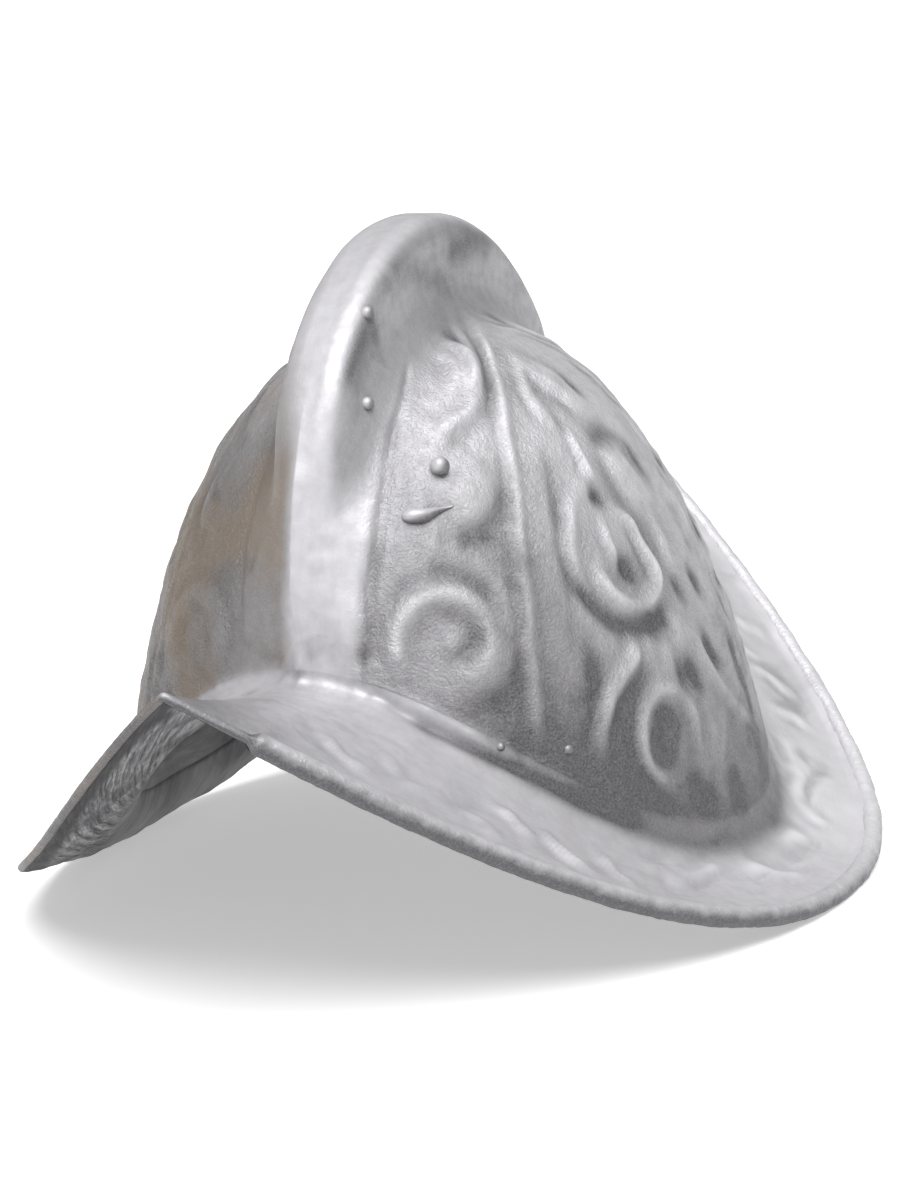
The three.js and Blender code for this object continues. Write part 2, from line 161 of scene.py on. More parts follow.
def skull_side(points, inset=0.0):
    """Negative inside the skull, positive outside."""
    x = np.abs(points[..., 0]) / (SKULL_HALF_WIDTH - inset)
    y = np.abs(points[..., 1]) / (SKULL_HALF_LENGTH - inset)
    share = (x ** SKULL_PLAN_POWER + y ** SKULL_PLAN_POWER) ** (1 / SKULL_PLAN_POWER) + 1e-9
    base = base_height(y / share)
    level = (points[..., 2] - base) / (RIM_LIFT + SKULL_HEIGHT - inset - base)
    return np.where(level >= 1, share + level, share - dome_share(level))


def reach(side, directions, far=260.0):
    """Distance from the heart to where side() turns positive."""
    low = np.zeros(directions.shape[:-1])
    high = np.full(directions.shape[:-1], far)
    for _ in range(22):
        middle = (low + high) / 2
        inside = side(HEART + directions * middle[..., None]) < 0
        low = np.where(inside, middle, low)
        high = np.where(inside, high, middle)
    return (low + high) / 2


# Comb

def cubic(marks, values, at):
    """Natural cubic spline through evenly spaced marks."""
    step = marks[1] - marks[0]
    count = len(marks)
    system = np.eye(count)
    slope = np.zeros(count)
    for i in range(1, count - 1):
        system[i, i - 1:i + 2] = (1, 4, 1)
        slope[i] = 6 * (values[i - 1] - 2 * values[i] + values[i + 1]) / step ** 2
    bend = np.linalg.solve(system, slope)
    index = np.clip(((at - marks[0]) / step).astype(int), 0, count - 2)
    b = (at - marks[index]) / step
    a = 1 - b
    return (a * values[index] + b * values[index + 1]
            + ((a ** 3 - a) * bend[index] + (b ** 3 - b) * bend[index + 1]) * step ** 2 / 6)


def comb_reach(lift):
    marks = np.radians(np.arange(0, 181, 30))
    return cubic(marks, np.array(COMB_REACH), np.clip(lift, 0, np.pi))


def lift_of(local):
    """Angle up from the front in the middle plane, running on over the back."""
    lift = np.arctan2(local[..., 2], -local[..., 1])
    return np.where(lift < -np.pi / 2, lift + 2 * np.pi, lift)


def comb_distance(points, skull_top):
    """Signed distance to the comb's section at each point."""
    local = points - HEART
    crease = COMB_CREASE_SHIFT * (1 - smooth(90, 116, points[..., 2])) * (local[..., 1] < 0)
    x = np.abs(local[..., 0] - crease)
    out = np.hypot(local[..., 1], local[..., 2])
    lift = lift_of(local)
    from_front = np.minimum(lift, np.pi - lift)
    top = np.maximum(comb_reach(lift), skull_top + COMB_KEEL_RISE)
    beyond = np.maximum(x - COMB_HALF_THICKNESS + COMB_CORNER, 0)
    above = np.maximum(out - top + COMB_CORNER, 0)
    slab = np.hypot(beyond, above) - COMB_CORNER
    foot = skull_top - COMB_BAND_HALF_WIDTH ** 2 / (2 * skull_top) - COMB_BAND_SINK
    slope = np.maximum(top - foot, 0.5) / COMB_BAND_HALF_WIDTH
    roof = np.maximum((out - top + slope * x) / np.sqrt(1 + slope ** 2), x - COMB_BAND_HALF_WIDTH)
    keel = 1 - smooth(math.radians(COMB_KEEL_TURN), math.radians(COMB_ROUND_TURN), from_front)
    return slab + (roof - slab) * keel


def smooth_least(a, b, size):
    mix = np.clip(0.5 + 0.5 * (b - a) / size, 0, 1)
    return b + (a - b) * mix - size * mix * (1 - mix)


def median_reach(lift):
    directions = np.stack([0 * lift, -np.cos(lift), np.sin(lift)], -1)
    return reach(skull_side, directions)


LIFT_MARKS = np.linspace(-0.4, np.pi + 0.4, 400)
MEDIAN_REACH = median_reach(LIFT_MARKS)


def crown_reach(directions):
    skull = reach(skull_side, directions)

    def side(points):
        local = points - HEART
        lift = lift_of(local)
        skull_top = np.interp(lift, LIFT_MARKS, MEDIAN_REACH)
        to_skull = np.linalg.norm(local, axis=-1) - skull
        from_front = np.minimum(lift, np.pi - lift)
        fillet = 1.5 + (COMB_FILLET - 1.5) * smooth(math.radians(20), math.radians(60), from_front)
        return smooth_least(to_skull, comb_distance(points, skull_top), fillet)

    return reach(side, directions)


# Brim

def rim_point(turn):
    share = np.abs(np.cos(turn))
    y = -BRIM_HALF_LENGTH * np.cos(turn)
    spread = np.maximum(1 - share ** BRIM_PLAN_POWER, 0) ** BRIM_TIP_POWER
    x = BRIM_HALF_WIDTH * spread * np.where(np.sin(turn) < 0, -1, 1)
    degrees = np.mod(np.degrees(turn), 360)
    flare = FAR_FLARE * np.exp(-((degrees - FAR_FLARE_TURN) / FAR_FLARE_SPREAD) ** 2)
    wave = FAR_WAVE * np.exp(-((degrees - FAR_WAVE_TURN) / FAR_WAVE_SPREAD) ** 2)
    height = RIM_LIFT + BRIM_TIP_RISE * share ** BRIM_RISE_POWER
    return np.stack([x - 0.9 * flare, y - 0.4 * flare, height + wave], -1)


def rim_radius(turn):
    """Full roll on the helmet's left side and back, a plain thin edge from there round to the front."""
    degrees = np.degrees(np.mod(turn, 2 * np.pi))
    roll = smooth(CURL_TURN - 0.9, CURL_TURN + 0.4, degrees) * (1 - smooth(195, 235, degrees))
    return THIN_RIM_RADIUS + (RIM_RADIUS - THIN_RIM_RADIUS) * roll


def brim_point(turn, share):
    base = skull_base(turn)
    point = base + (rim_point(turn) - base) * share[..., None]
    point[..., 2] -= BRIM_DISH * np.sin(np.pi * share)
    return point


# Skin: one grid from the rim over the brim, up the fillet and the skull to the crest

TURN_COUNT = 640
CROWN_ROWS = 130
BRIM_ROWS = 70
FILLET_ROWS = 20
FOOT_LEVEL = 0.07
FILLET_REACH = 13.0
SHEET_LIFT = 0.9
RIM_SWEEP = 1.5


def spaced_turns(count):
    """Turns round the helmet, closer together near its middle plane."""
    fine = np.linspace(0, np.pi, 2001)
    weight = 1 + 1.6 * np.exp(-(np.sin(fine) / 0.16) ** 2)
    total = np.concatenate([[0], np.cumsum((weight[1:] + weight[:-1]) / 2)])
    half = np.interp(np.linspace(0, total[-1], count // 2 + 1), total, fine)
    return np.concatenate([half[:-1], half[:-1] + np.pi])


TURNS = spaced_turns(TURN_COUNT)


def crown_grid(turns, rows):
    foot = skull_point(turns, FOOT_LEVEL) - HEART
    azimuth = np.arctan2(foot[:, 0], -foot[:, 1])
    lowest = np.arctan2(foot[:, 2], np.hypot(foot[:, 0], foot[:, 1]))

    def surface(lifts):
        directions = np.stack([
            np.cos(lifts) * np.sin(azimuth)[:, None],
            -np.cos(lifts) * np.cos(azimuth)[:, None],
            np.sin(lifts),
        ], -1)
        return HEART + directions * crown_reach(directions)[..., None]

    even = np.linspace(0, 1, 3 * rows)
    lifts = lowest[:, None] + (np.pi / 2 - lowest[:, None]) * even[None, :]
    for _ in range(2):
        points = surface(lifts)
        steps = np.linalg.norm(np.diff(points, axis=1), axis=-1)
        length = np.concatenate([np.zeros((len(turns), 1)), np.cumsum(steps, axis=1)], 1)
        lifts = np.stack([np.interp(even * line[-1], line, lift) for line, lift in zip(length, lifts)])
    return surface(np.stack([np.interp(np.linspace(0, 1, rows), even, lift) for lift in lifts]))


def brim_grid(turns, foot):
    """Top of the brim from the skull's foot out to the middle of the rim."""
    base = skull_base(turns)
    width = np.linalg.norm(rim_point(turns) - base, axis=-1)
    start = FILLET_REACH / width
    shares = start[:, None] + (1 - start[:, None]) * np.linspace(0, 1, BRIM_ROWS)[None, :]
    plate = np.stack([brim_point(turns, shares[:, j]) for j in range(BRIM_ROWS)], 1)
    roll = (rim_radius(turns) - THIN_RIM_RADIUS) / (RIM_RADIUS - THIN_RIM_RADIUS)
    plate[..., 2] += SHEET_LIFT * smooth(0, 0.5, shares) + RIM_SWEEP * roll[:, None] * smooth(0.84, 1, shares)
    corner = base + (foot - skull_point(turns, FOOT_LEVEL)) * 0.6
    t = np.linspace(0, 1, FILLET_ROWS, endpoint=False)[None, :, None]
    fillet = (1 - t) ** 2 * foot[:, None] + 2 * t * (1 - t) * corner[:, None] + t ** 2 * plate[:, :1]
    return np.concatenate([fillet, plate], 1)


def grid_normals(grid):
    along = np.roll(grid, -1, 0) - np.roll(grid, 1, 0)
    across = np.gradient(grid, axis=1)
    normals = np.cross(along, across)
    normals[:, -1] = (0, 0, 1)
    return unit(normals)


crown = crown_grid(TURNS, CROWN_ROWS)
brim = brim_grid(TURNS, crown[:, 0])
SEAM = brim.shape[1] - 1
skin = np.concatenate([brim[:, :0:-1], crown], 1)
skin_normals = grid_normals(skin)


# Meshes from grids

def grid_faces(rows, columns, first=0, flip=False):
    row = np.arange(rows)[:, None]
    column = np.arange(columns - 1)[None, :]
    ahead = (row + 1) % rows
    quads = np.stack([
        first + row * columns + column,
        first + ahead * columns + column,
        first + ahead * columns + column + 1,
        first + row * columns + column + 1,
    ], -1).reshape(-1, 4)
    return quads[:, ::-1] if flip else quads


def ring_faces(rows, first, first_step, second, second_step, flip=False):
    """Quads between one column of a grid and one column of another."""
    row = np.arange(rows)
    ahead = (row + 1) % rows
    quads = np.stack([
        first + row * first_step,
        second + row * second_step,
        second + ahead * second_step,
        first + ahead * first_step,
    ], -1)
    return quads[:, ::-1] if flip else quads


def make_piece(name, points, faces, sharp_angle=50):
    """A smooth-shaded mesh object from points in millimetres and lists of faces."""
    mesh = bpy.data.meshes.new(name)
    above_floor = np.maximum(points, [-np.inf, -np.inf, 0])
    corners = [face for block in faces for face in np.asarray(block).tolist()]
    mesh.from_pydata((above_floor * MM).tolist(), [], corners)
    mesh.validate()
    mesh.shade_smooth()
    mesh.set_sharp_from_angle(angle=math.radians(sharp_angle))
    piece = bpy.data.objects.new(name, mesh)
    bpy.context.scene.collection.objects.link(piece)
    return piece


def pole_faces(rows, columns, first, pole, flip=False):
    """Triangles from a grid's last column to one point."""
    row = np.arange(rows)
    ahead = (row + 1) % rows
    last = first + columns - 1
    fans = np.stack([last + row * columns, last + ahead * columns, np.full(rows, pole)], -1)
    return fans[:, ::-1] if flip else fans


def lumps(points, wavelength, seed, waves=22):
    """Gentle unevenness in space, about -1 to 1."""
    draw = np.random.default_rng(seed)
    directions = unit(draw.normal(size=(waves, 3)))
    stretch = draw.uniform(0.7, 1.5, waves)
    phase = draw.uniform(0, 2 * np.pi, waves)
    total = np.zeros(points.shape[:-1])
    for direction, size, start in zip(directions, stretch, phase):
        total += np.sin(points @ direction * (2 * np.pi / (wavelength * size)) + start)
    return total / np.sqrt(waves)


# Relief, traced from the photograph

# Each row: half width and height in millimetres, then the photograph's pixels that the stroke runs through,
# x and y in turn. Two half widths are those at its start and its end. A lobe's top is flatter than a ridge's.
SCROLL_LOBES = [
    ((6.5, 4.5), 1.3, (438, 348, 458, 358, 464, 376, 458, 396)),
    ((9.5, 7.5), 1.9, (452, 474, 466, 488, 464, 504, 452, 514)),
    ((5.0, 7.0), 1.3, (534, 368, 556, 384, 574, 400, 586, 412)),
    ((5.5, 8.0), 1.5, (606, 446, 618, 464, 632, 486, 642, 502)),
    ((4.0, 4.5), 1.2, (658, 482, 674, 500, 686, 524)),
    ((6.0, 6.5), 0.9, (452, 632, 462, 644)),
]
SCROLL_RIDGES = [
    # upper hook between comb and rib
    ((2.4, 4.0), 1.3, (440, 340, 458, 347, 470, 361, 476, 378, 476, 397, 468, 412, 452, 424, 434, 438)),
    # stem from the second leaf down to the scroll
    ((2.6, 2.2), 0.8, (442, 524, 434, 540, 429, 556)),
    # front scroll
    ((3.8, 5.4), 1.9, (398, 668, 395, 645, 399, 624, 412, 606, 433, 595, 454, 594, 474, 604, 488, 622,
        492, 644, 484, 664, 466, 675, 450, 673)),
    ((3.2, 4.8), 1.0, (498, 598, 508, 622, 511, 648, 504, 672, 488, 688, 466, 696, 444, 693)),
    # rib beside the front panel
    ((2.0, 3.0), 1.5, (474, 318, 481, 340, 492, 366, 500, 400, 506, 430, 512, 462, 517, 500, 521, 545,
        525, 590, 530, 640, 535, 690, 537, 740)),
    (2.6, 0.5, (459, 325, 472, 350, 484, 378)),
    # foot of the keel
    (3.2, 0.8, (298, 652, 299, 664, 301, 676)),
    # welt round the skull's foot
    (2.2, 0.7, (366, 684, 384, 691, 410, 704, 430, 713, 452, 724, 477, 738, 495, 747, 514, 754, 528, 760)),
    # side panel, upper leaf
    ((2.0, 2.6), 1.1, (519, 358, 522, 376, 528, 392, 537, 406, 550, 418)),
    ((2.0, 2.6), 1.3, (566, 426, 573, 440, 581, 456, 588, 471, 594, 483)),
    ((2.2, 2.8), 1.5, (592, 481, 579, 489, 573, 503, 570, 524, 571, 549, 577, 574)),
    # side scroll
    ((2.4, 1.6), 1.6, (602, 516, 605, 534, 612, 552, 622, 564)),
    ((2.4, 3.2), 2.1, (616, 513, 628, 520, 637, 534, 644, 550, 652, 564, 657, 580, 653, 596, 640, 605,
        622, 600, 607, 586, 598, 566)),
    ((2.0, 2.6), 0.9, (648, 512, 658, 530, 666, 550, 672, 574)),
    ((2.0, 3.0), 0.9, (664, 600, 676, 622, 684, 648)),
    # lower leaf and veins
    ((2.6, 3.2), 2.0, (634, 640, 634, 658, 624, 674, 612, 692, 605, 714, 600, 740, 598, 754)),
    (1.5, 0.8, (647, 630, 650, 648, 655, 668)),
    ((2.0, 1.4), 1.2, (667, 642, 669, 660, 668, 678)),
    # lower scroll
    ((2.6, 3.4), 2.0, (680, 692, 667, 688, 655, 694, 646, 708, 642, 728, 643, 748, 648, 766, 660, 777,
        672, 782)),
    ((2.6, 2.0), 1.4, (680, 692, 690, 706, 696, 726, 699, 748, 704, 772)),
    (2.4, 0.9, (711, 718, 711, 740, 708, 766, 706, 778)),
    (2.4, 1.1, (676, 622, 692, 634, 705, 656, 718, 680, 733, 702, 752, 724)),
    (2.0, 0.7, (725, 702, 721, 736, 719, 772, 723, 806)),
    (1.4, 0.6, (727, 786, 729, 774, 738, 768, 747, 773)),
    # foot band at the side
    (3.4, 0.35, (600, 803, 637, 816, 675, 828, 715, 832)),
]
SCROLL_VALLEYS = [
    ((1.0, 4.4), 1.0, (409, 362, 407, 376, 402, 404, 393, 436, 388, 470, 384, 500, 378, 530, 372, 565,
        367, 600, 364, 640, 362, 672)),
    ((2.0, 3.0), 0.8, (468, 332, 484, 360, 491, 388, 486, 412, 474, 426, 458, 436, 442, 448)),
    ((2.4, 4.4), 1.3, (503, 486, 503, 504, 497, 519, 484, 531, 468, 537, 457, 549)),
    ((4.0, 2.6), 1.0, (426, 568, 448, 573, 468, 581, 486, 594, 498, 610)),
    ((2.4, 3.2), 0.9, (521, 640, 517, 664, 508, 684, 495, 697, 476, 703, 455, 703)),
    ((2.2, 3.0), 0.9, (474, 622, 476, 644, 466, 658, 446, 662)),
    (2.4, 1.1, (385, 705, 408, 716, 430, 728, 455, 740, 480, 752, 505, 764, 528, 774)),
    ((1.6, 2.4), 0.9, (546, 450, 552, 490, 558, 528, 564, 552, 569, 578, 572, 612, 574, 652)),
    (2.4, 0.9, (552, 415, 560, 422, 566, 430)),
    (2.4, 0.9, (567, 378, 578, 389)),
    (3.8, 1.8, (590, 497, 603, 492)),
    ((2.4, 1.8), 1.1, (594, 450, 598, 438, 610, 432, 624, 441, 636, 460, 648, 477)),
    (1.6, 0.6, (658, 473, 674, 480, 690, 499, 701, 524)),
    ((3.0, 4.4), 2.3, (618, 556, 626, 568, 636, 578)),
    ((3.0, 4.8), 1.3, (576, 580, 590, 604, 610, 622, 634, 628, 658, 618, 670, 600)),
    (3.0, 1.7, (671, 573, 677, 585, 684, 598)),
    (2.9, 1.6, (687, 566, 693, 579, 701, 592)),
    (2.9, 1.5, (716, 590, 723, 605, 730, 620)),
    (2.4, 1.1, (684, 535, 692, 548)),
    ((2.8, 3.8), 1.9, (701, 630, 710, 650, 719, 668)),
    ((3.0, 3.6), 1.6, (685, 656, 693, 672, 701, 686)),
    ((2.0, 3.0), 1.4, (725, 631, 736, 662, 746, 688, 753, 714)),
    (2.6, 1.2, (745, 722, 756, 746, 763, 770)),
    ((2.8, 3.6), 1.9, (733, 770, 738, 790, 744, 812)),
    ((2.0, 3.0), 1.2, (647, 662, 634, 686, 624, 712, 622, 740)),
    (2.4, 1.2, (677, 655, 686, 690)),
    ((4.4, 5.4), 1.8, (664, 708, 667, 732, 662, 756)),
    (2.6, 0.8, (686, 772, 698, 790, 716, 802)),
    ((5.0, 3.0), 0.9, (586, 630, 592, 660, 590, 690)),
]
BRIM_RIDGES = [
    ((2.6, 3.6), 1.7, (322, 733, 333, 748, 346, 760, 362, 769, 376, 777)),
    (2.8, 1.1, (286, 722, 300, 738, 318, 753)),
    (2.4, 1.4, (384, 753, 392, 763, 397, 776)),
    ((2.4, 3.4), 1.7, (470, 813, 482, 822, 489, 833, 500, 840)),
    (2.8, 1.7, (498, 806, 512, 817, 524, 830, 533, 841)),
    ((2.6, 3.6), 2.2, (542, 829, 550, 842, 561, 852, 576, 863, 592, 872)),
    ((2.6, 3.4), 2, (600, 852, 609, 866, 621, 877, 634, 884)),
    (4.2, 1.6, (742, 866, 760, 871, 780, 876, 806, 876)),
    (4.6, 2, (780, 842, 796, 836, 810, 842)),
    ((2.6, 3.6), 2.3, (783, 772, 790, 788, 798, 802, 812, 815, 828, 826)),
    (2.6, 1.4, (756, 660, 766, 673, 778, 686, 792, 694)),
    (2.6, 1.2, (772, 664, 788, 682, 804, 700)),
    (3.6, 1.6, (672, 864, 684, 876, 702, 874, 720, 866)),
    ((5.0, 3.0), 1.2, (396, 782, 420, 790, 448, 800)),
    ((5.0, 3.0), 1.2, (640, 866, 664, 872, 690, 884)),
]
BRIM_VALLEYS = [
    ((1.8, 2.8), 1.1, (306, 718, 318, 736, 332, 752, 352, 770)),
    (2.6, 0.93, (360, 728, 388, 736, 404, 748, 416, 760)),
    (2.4, 1.1, (380, 760, 388, 770, 392, 780)),
    (3.4, 0.93, (438, 800, 464, 804, 490, 802)),
    (2.4, 1.2, (540, 838, 550, 853, 566, 864)),
    (2.4, 1.2, (632, 846, 646, 855, 662, 861, 674, 863)),
    (3.4, 1.1, (656, 868, 668, 884, 684, 894, 700, 885, 718, 878)),
    (2.2, 1.4, (804, 793, 818, 808, 836, 821)),
    (3.0, 1.2, (778, 852, 796, 857, 812, 852, 818, 838)),
    (1.8, 1.4, (808, 786, 818, 790)),
    (4.0, 1.1, (808, 752, 806, 770)),
    (4.0, 1.1, (822, 776, 832, 792)),
]
# Small pits: pixel, radius and depth in millimetres
PITS = [
    (732, 907, 1.3, 1.0),
    (437, 808, 1.2, 0.9),
    (776, 710, 1.3, 0.9),
    (828, 827, 1.1, 0.8),
    (820, 845, 1.4, 0.8),
    (251, 590, 0.9, 0.7),
    (307, 505, 1.0, 0.5),
    (221, 713, 1.4, 1.0),
    (241, 722, 1.0, 0.8),
]
STROKE_STEP = 2.0
STROKE_FADE = 5.0
# The dip beside a ridge: its middle and spread in half widths, and its depth as a share of the ridge
MOAT_PLACE = 1.3
MOAT_SPREAD = 0.42
MOAT_SHARE = 0.3
# How flat the tops are
LOBE_FULLNESS = 4.0
RIDGE_FULLNESS = 2.4
# The relief on the helmet's right is lower by this share
RIGHT_WEAKER = 0.55


def photo_ray(pixel):
    right, up, back, place = camera_axes()
    x = (pixel[0] - PHOTO_WIDTH / 2) / PHOTO_FOCAL
    y = (PHOTO_HEIGHT / 2 - pixel[1]) / PHOTO_FOCAL
    return place, unit(right * x + up * y - back)


def surface_tree(grid):
    rows, columns = grid.shape[:2]
    return BVHTree.FromPolygons(grid.reshape(-1, 3).tolist(), grid_faces(rows, columns).tolist())


def seen_at(tree, pixel):
    """Point and normal of the surface that the photograph shows at a pixel."""
    place, direction = photo_ray(pixel)
    point, normal, _, _ = tree.ray_cast(Vector(place), Vector(direction))
    return (np.array(point), np.array(normal)) if point else (None, None)


def curve_through(marks, step):
    """Evenly spaced points on a smooth curve through the marks."""
    marks = np.array(marks, float).reshape(-1, 2)
    ends = np.concatenate([2 * marks[:1] - marks[1:2], marks, 2 * marks[-1:] - marks[-2:-1]])
    pieces = []
    for i in range(len(marks) - 1):
        a, b, c, d = ends[i:i + 4]
        t = np.linspace(0, 1, 24, endpoint=False)[:, None]
        pieces.append(b + 0.5 * t * (c - a + t * (2 * a - 5 * b + 4 * c - d + t * (3 * (b - c) + d - a))))
    line = np.concatenate(pieces + [marks[-1:]])
    length = np.concatenate([[0], np.cumsum(np.linalg.norm(np.diff(line, axis=0), axis=1))])
    even = np.linspace(0, length[-1], max(int(length[-1] / step), 2) + 1)
    return np.stack([np.interp(even, length, line[:, k]) for k in range(line.shape[1])], -1)


def stroke_on(tree, half_width, height, marks):
    hits = [seen_at(tree, pixel)[0] for pixel in curve_through(marks, STROKE_STEP)]
    path = np.array([hit for hit in hits if hit is not None])
    length = np.concatenate([[0], np.cumsum(np.linalg.norm(np.diff(path, axis=0), axis=1))])
    fade = min(STROKE_FADE, length[-1] / 3)
    strength = smooth(-0.35 * fade, fade, np.minimum(length, length[-1] - length))
    widths = np.interp(length / length[-1], np.linspace(0, 1, np.size(half_width)), np.atleast_1d(half_width))
    return widths * (1 + 0.14 * lumps(path, 17, 41)), height, path, strength


def stroke_height(points, strokes, fullness=2.0, moat=0.0):
    """Highest rise of the strokes at each point; a high fullness flattens their tops."""
    rise, dip = np.zeros(len(points)), np.zeros(len(points))
    for widths, height, path, strength in strokes:
        around = widths.max() * (MOAT_PLACE + 2 * MOAT_SPREAD if moat else 1)
        low, high = path.min(0) - around, path.max(0) + around
        near = np.flatnonzero(((points > low) & (points < high)).all(-1))
        for block in np.array_split(near, max(len(near) * len(path) // 400000, 1)):
            gaps = np.linalg.norm(points[block][:, None] - path[None], axis=-1)
            closest = (gaps / widths[None]).argmin(1)
            share = gaps[np.arange(len(block)), closest] / widths[closest]
            stand = height * strength[closest]
            rise[block] = np.maximum(rise[block], stand * np.maximum(1 - share ** fullness, 0) ** 2)
            if moat:
                side = np.exp(-((share - MOAT_PLACE) / MOAT_SPREAD) ** 2)
                dip[block] = np.maximum(dip[block], moat * stand * side)
    return rise - dip * (1 - smooth(0, 0.4, rise))


tree = surface_tree(skin)
lobes = [stroke_on(tree, *row) for row in SCROLL_LOBES]
ridges = [stroke_on(tree, *row) for row in SCROLL_RIDGES + BRIM_RIDGES]
valleys = [stroke_on(tree, *row) for row in SCROLL_VALLEYS + BRIM_VALLEYS]
pits = []
for px, py, radius, depth in PITS:
    place, _ = seen_at(tree, (px, py))
    if place is not None:
        pits.append((np.array([radius]), depth, place[None], np.ones(1)))


def relief(points):
    """Cast relief over the helmet: the photographed quarter, mirrored to the others."""
    flat = points.reshape(-1, 3)
    turn = np.degrees(np.arctan2(np.abs(flat[:, 0]), -flat[:, 1]))
    back = smooth(101, 113, turn)
    total = np.zeros(len(flat))
    for share, flip in ((1 - back, 1), (back, -1)):
        use = np.flatnonzero(share > 0)
        folded = np.stack([np.abs(flat[use, 0]), flip * flat[use, 1], flat[use, 2]], -1)
        raised = stroke_height(folded, lobes, LOBE_FULLNESS, MOAT_SHARE)
        raised += stroke_height(folded, ridges, RIDGE_FULLNESS, MOAT_SHARE)
        total[use] += share[use] * (raised - stroke_height(folded, valleys))
    total *= 1 + 0.16 * lumps(flat, 13, 42)
    total *= 1 - RIGHT_WEAKER * smooth(0, 25, -flat[:, 0])
    total -= stroke_height(flat, pits)
    return total.reshape(points.shape[:-1])


def blur(grid, times):
    for _ in range(times):
        grid = (np.roll(grid, 1, 0) + grid + np.roll(grid, -1, 0)) / 3
        padded = np.concatenate([grid[:, :1], grid, grid[:, -1:]], 1)
        grid = (padded[:, 2:] + padded[:, 1:-1] + padded[:, :-2]) / 3
    return grid


# Darker patches under the brim and over the helmet, the one along the skull's foot painted shade in its
# groove:
# half width in millimetres, strength and pixels
UNDER_DARK_PATCHES = [
    (4.0, 0.9, (176, 744, 185, 741, 194, 737)),
    (6.0, 0.55, (146, 726, 160, 718, 176, 716)),
]
DARK_PATCHES = [
    (7, 0.42, (446, 254, 470, 244, 492, 250)),
    (5, 0.28, (392, 266, 424, 276, 452, 286)),
    (2.5, 0.42, (502, 282, 514, 292)),
    (3, 0.45, (510, 280, 520, 296)),
    (5.5, 0.5, (376, 312, 364, 342, 354, 368, 347, 390)),
    ((2.5, 4), 0.32, (380, 540, 372, 600, 362, 664)),
    ((3, 5), 0.5, (408, 718, 440, 734, 480, 754, 528, 776, 580, 800, 640, 822)),
]
carved = relief(skin)
carved = blur(carved, 1)
unevenness = 0.28 * lumps(skin, 19, 3) + 0.1 * lumps(skin, 6.5, 4)
unevenness *= (1 - smooth(0.97, 1, np.linspace(0, 1, skin.shape[1])))[None, :]
unevenness *= 1 - 0.7 * smooth(120, 150, skin[..., 2]) * (1 - smooth(15, 26, np.abs(skin[..., 0])))
turn_round = np.degrees(np.arctan2(skin[..., 0], -skin[..., 1]))
calm = 1 - 0.6 * smooth(78, 96, np.abs(turn_round)) * (turn_round > 0) - 0.5 * smooth(42, 56, -turn_round)
skin_shown = skin + skin_normals * (carved * calm + unevenness)[..., None]
edge = carved - blur(carved, 14)
cavity = blur(carved, 3) - blur(carved, 60)


# Masks for the paint, stored on the meshes

# Strengths of the darkening, from 0 to 1, all painted shade but the last: towards the skull's foot, over its
# faces, on the comb's sides, on the helmet's right, in deep hollows, in creases of the skull and of all, on
# the brim, and at its tip
FOOT_SHADE = 0.62
FACE_SHADE = 0.33
FLANK_SHADE = 0.5
RIGHT_SHADE = 0.54
HOLLOW_SHADE = 0.62
SKULL_CREASE_SHADE = 0.24
CREASE_SHADE = 0.16
BRIM_SHADE = 0.12
TIP_DARKENING = 0.5
TIP_DARKENING_REACH = 38
# How far the skull's painted shade runs on over the fillet, and how softly it ends, as shares of the fillet
SHADE_PAST_FOOT = 0.32
SHADE_END = 0.26
# Share of the painted shade that is taken off the highest relief, which leaves its tops lighter
SHADE_OFF_RELIEF = 0.5
# Painted light: how much the brim's outer part is lightened at the side, and further back
SIDE_BRIGHT = 0.35
BACK_BRIGHT = 0.95

def skull_level(points):
    share = np.hypot(points[..., 0] / SKULL_HALF_WIDTH, points[..., 1] / SKULL_HALF_LENGTH)
    base = base_height(np.minimum(np.abs(points[..., 1]) / SKULL_HALF_LENGTH / np.maximum(share, 0.05), 1))
    return (points[..., 2] - base) / (RIM_LIFT + SKULL_HEIGHT - base)


dark_patches = [stroke_on(tree, *row) for row in DARK_PATCHES]
turn_shown = np.degrees(np.arctan2(np.abs(skin[..., 0]), np.abs(skin[..., 1])))
level = skull_level(skin)
on_comb = 1 - smooth(15, 26, np.abs(skin[..., 0]))
on_crown = (np.arange(skin.shape[1]) >= SEAM)[None, :] * np.ones_like(level)
# Painted shade towards the skull's foot at the sides, over its faces and on the comb's flanks
wash = FOOT_SHADE * (1 - smooth(0.0, 0.86, level)) * smooth(10, 48, turn_shown)
past_foot = np.maximum(SEAM - FILLET_ROWS * SHADE_PAST_FOOT - np.arange(skin.shape[1]), 0)
near_crown = np.exp(-(past_foot / (FILLET_ROWS * SHADE_END)) ** 2)[None, :]
wash *= near_crown
to_front = 1 - 0.65 * smooth(44, 64, turn_shown)
wash += FACE_SHADE * on_crown * (1 - on_comb) * smooth(0.85, 0.5, level) * to_front
across = np.abs(skin[..., 0])
flank = smooth(8, 10.8, across) * (1 - smooth(14, 30, across)) * smooth(128, 150, skin[..., 2])
wash += FLANK_SHADE * flank * on_crown
# Painted shade over the helmet's right side; the same mask sets the brown tint there
right_side = smooth(-1.2, 5, -skin[..., 0]) * on_crown * (1 - smooth(150, 185, skin[..., 2]))
wash += RIGHT_SHADE * right_side * (1 - wash)
wash += stroke_height(skin.reshape(-1, 3), dark_patches).reshape(wash.shape)
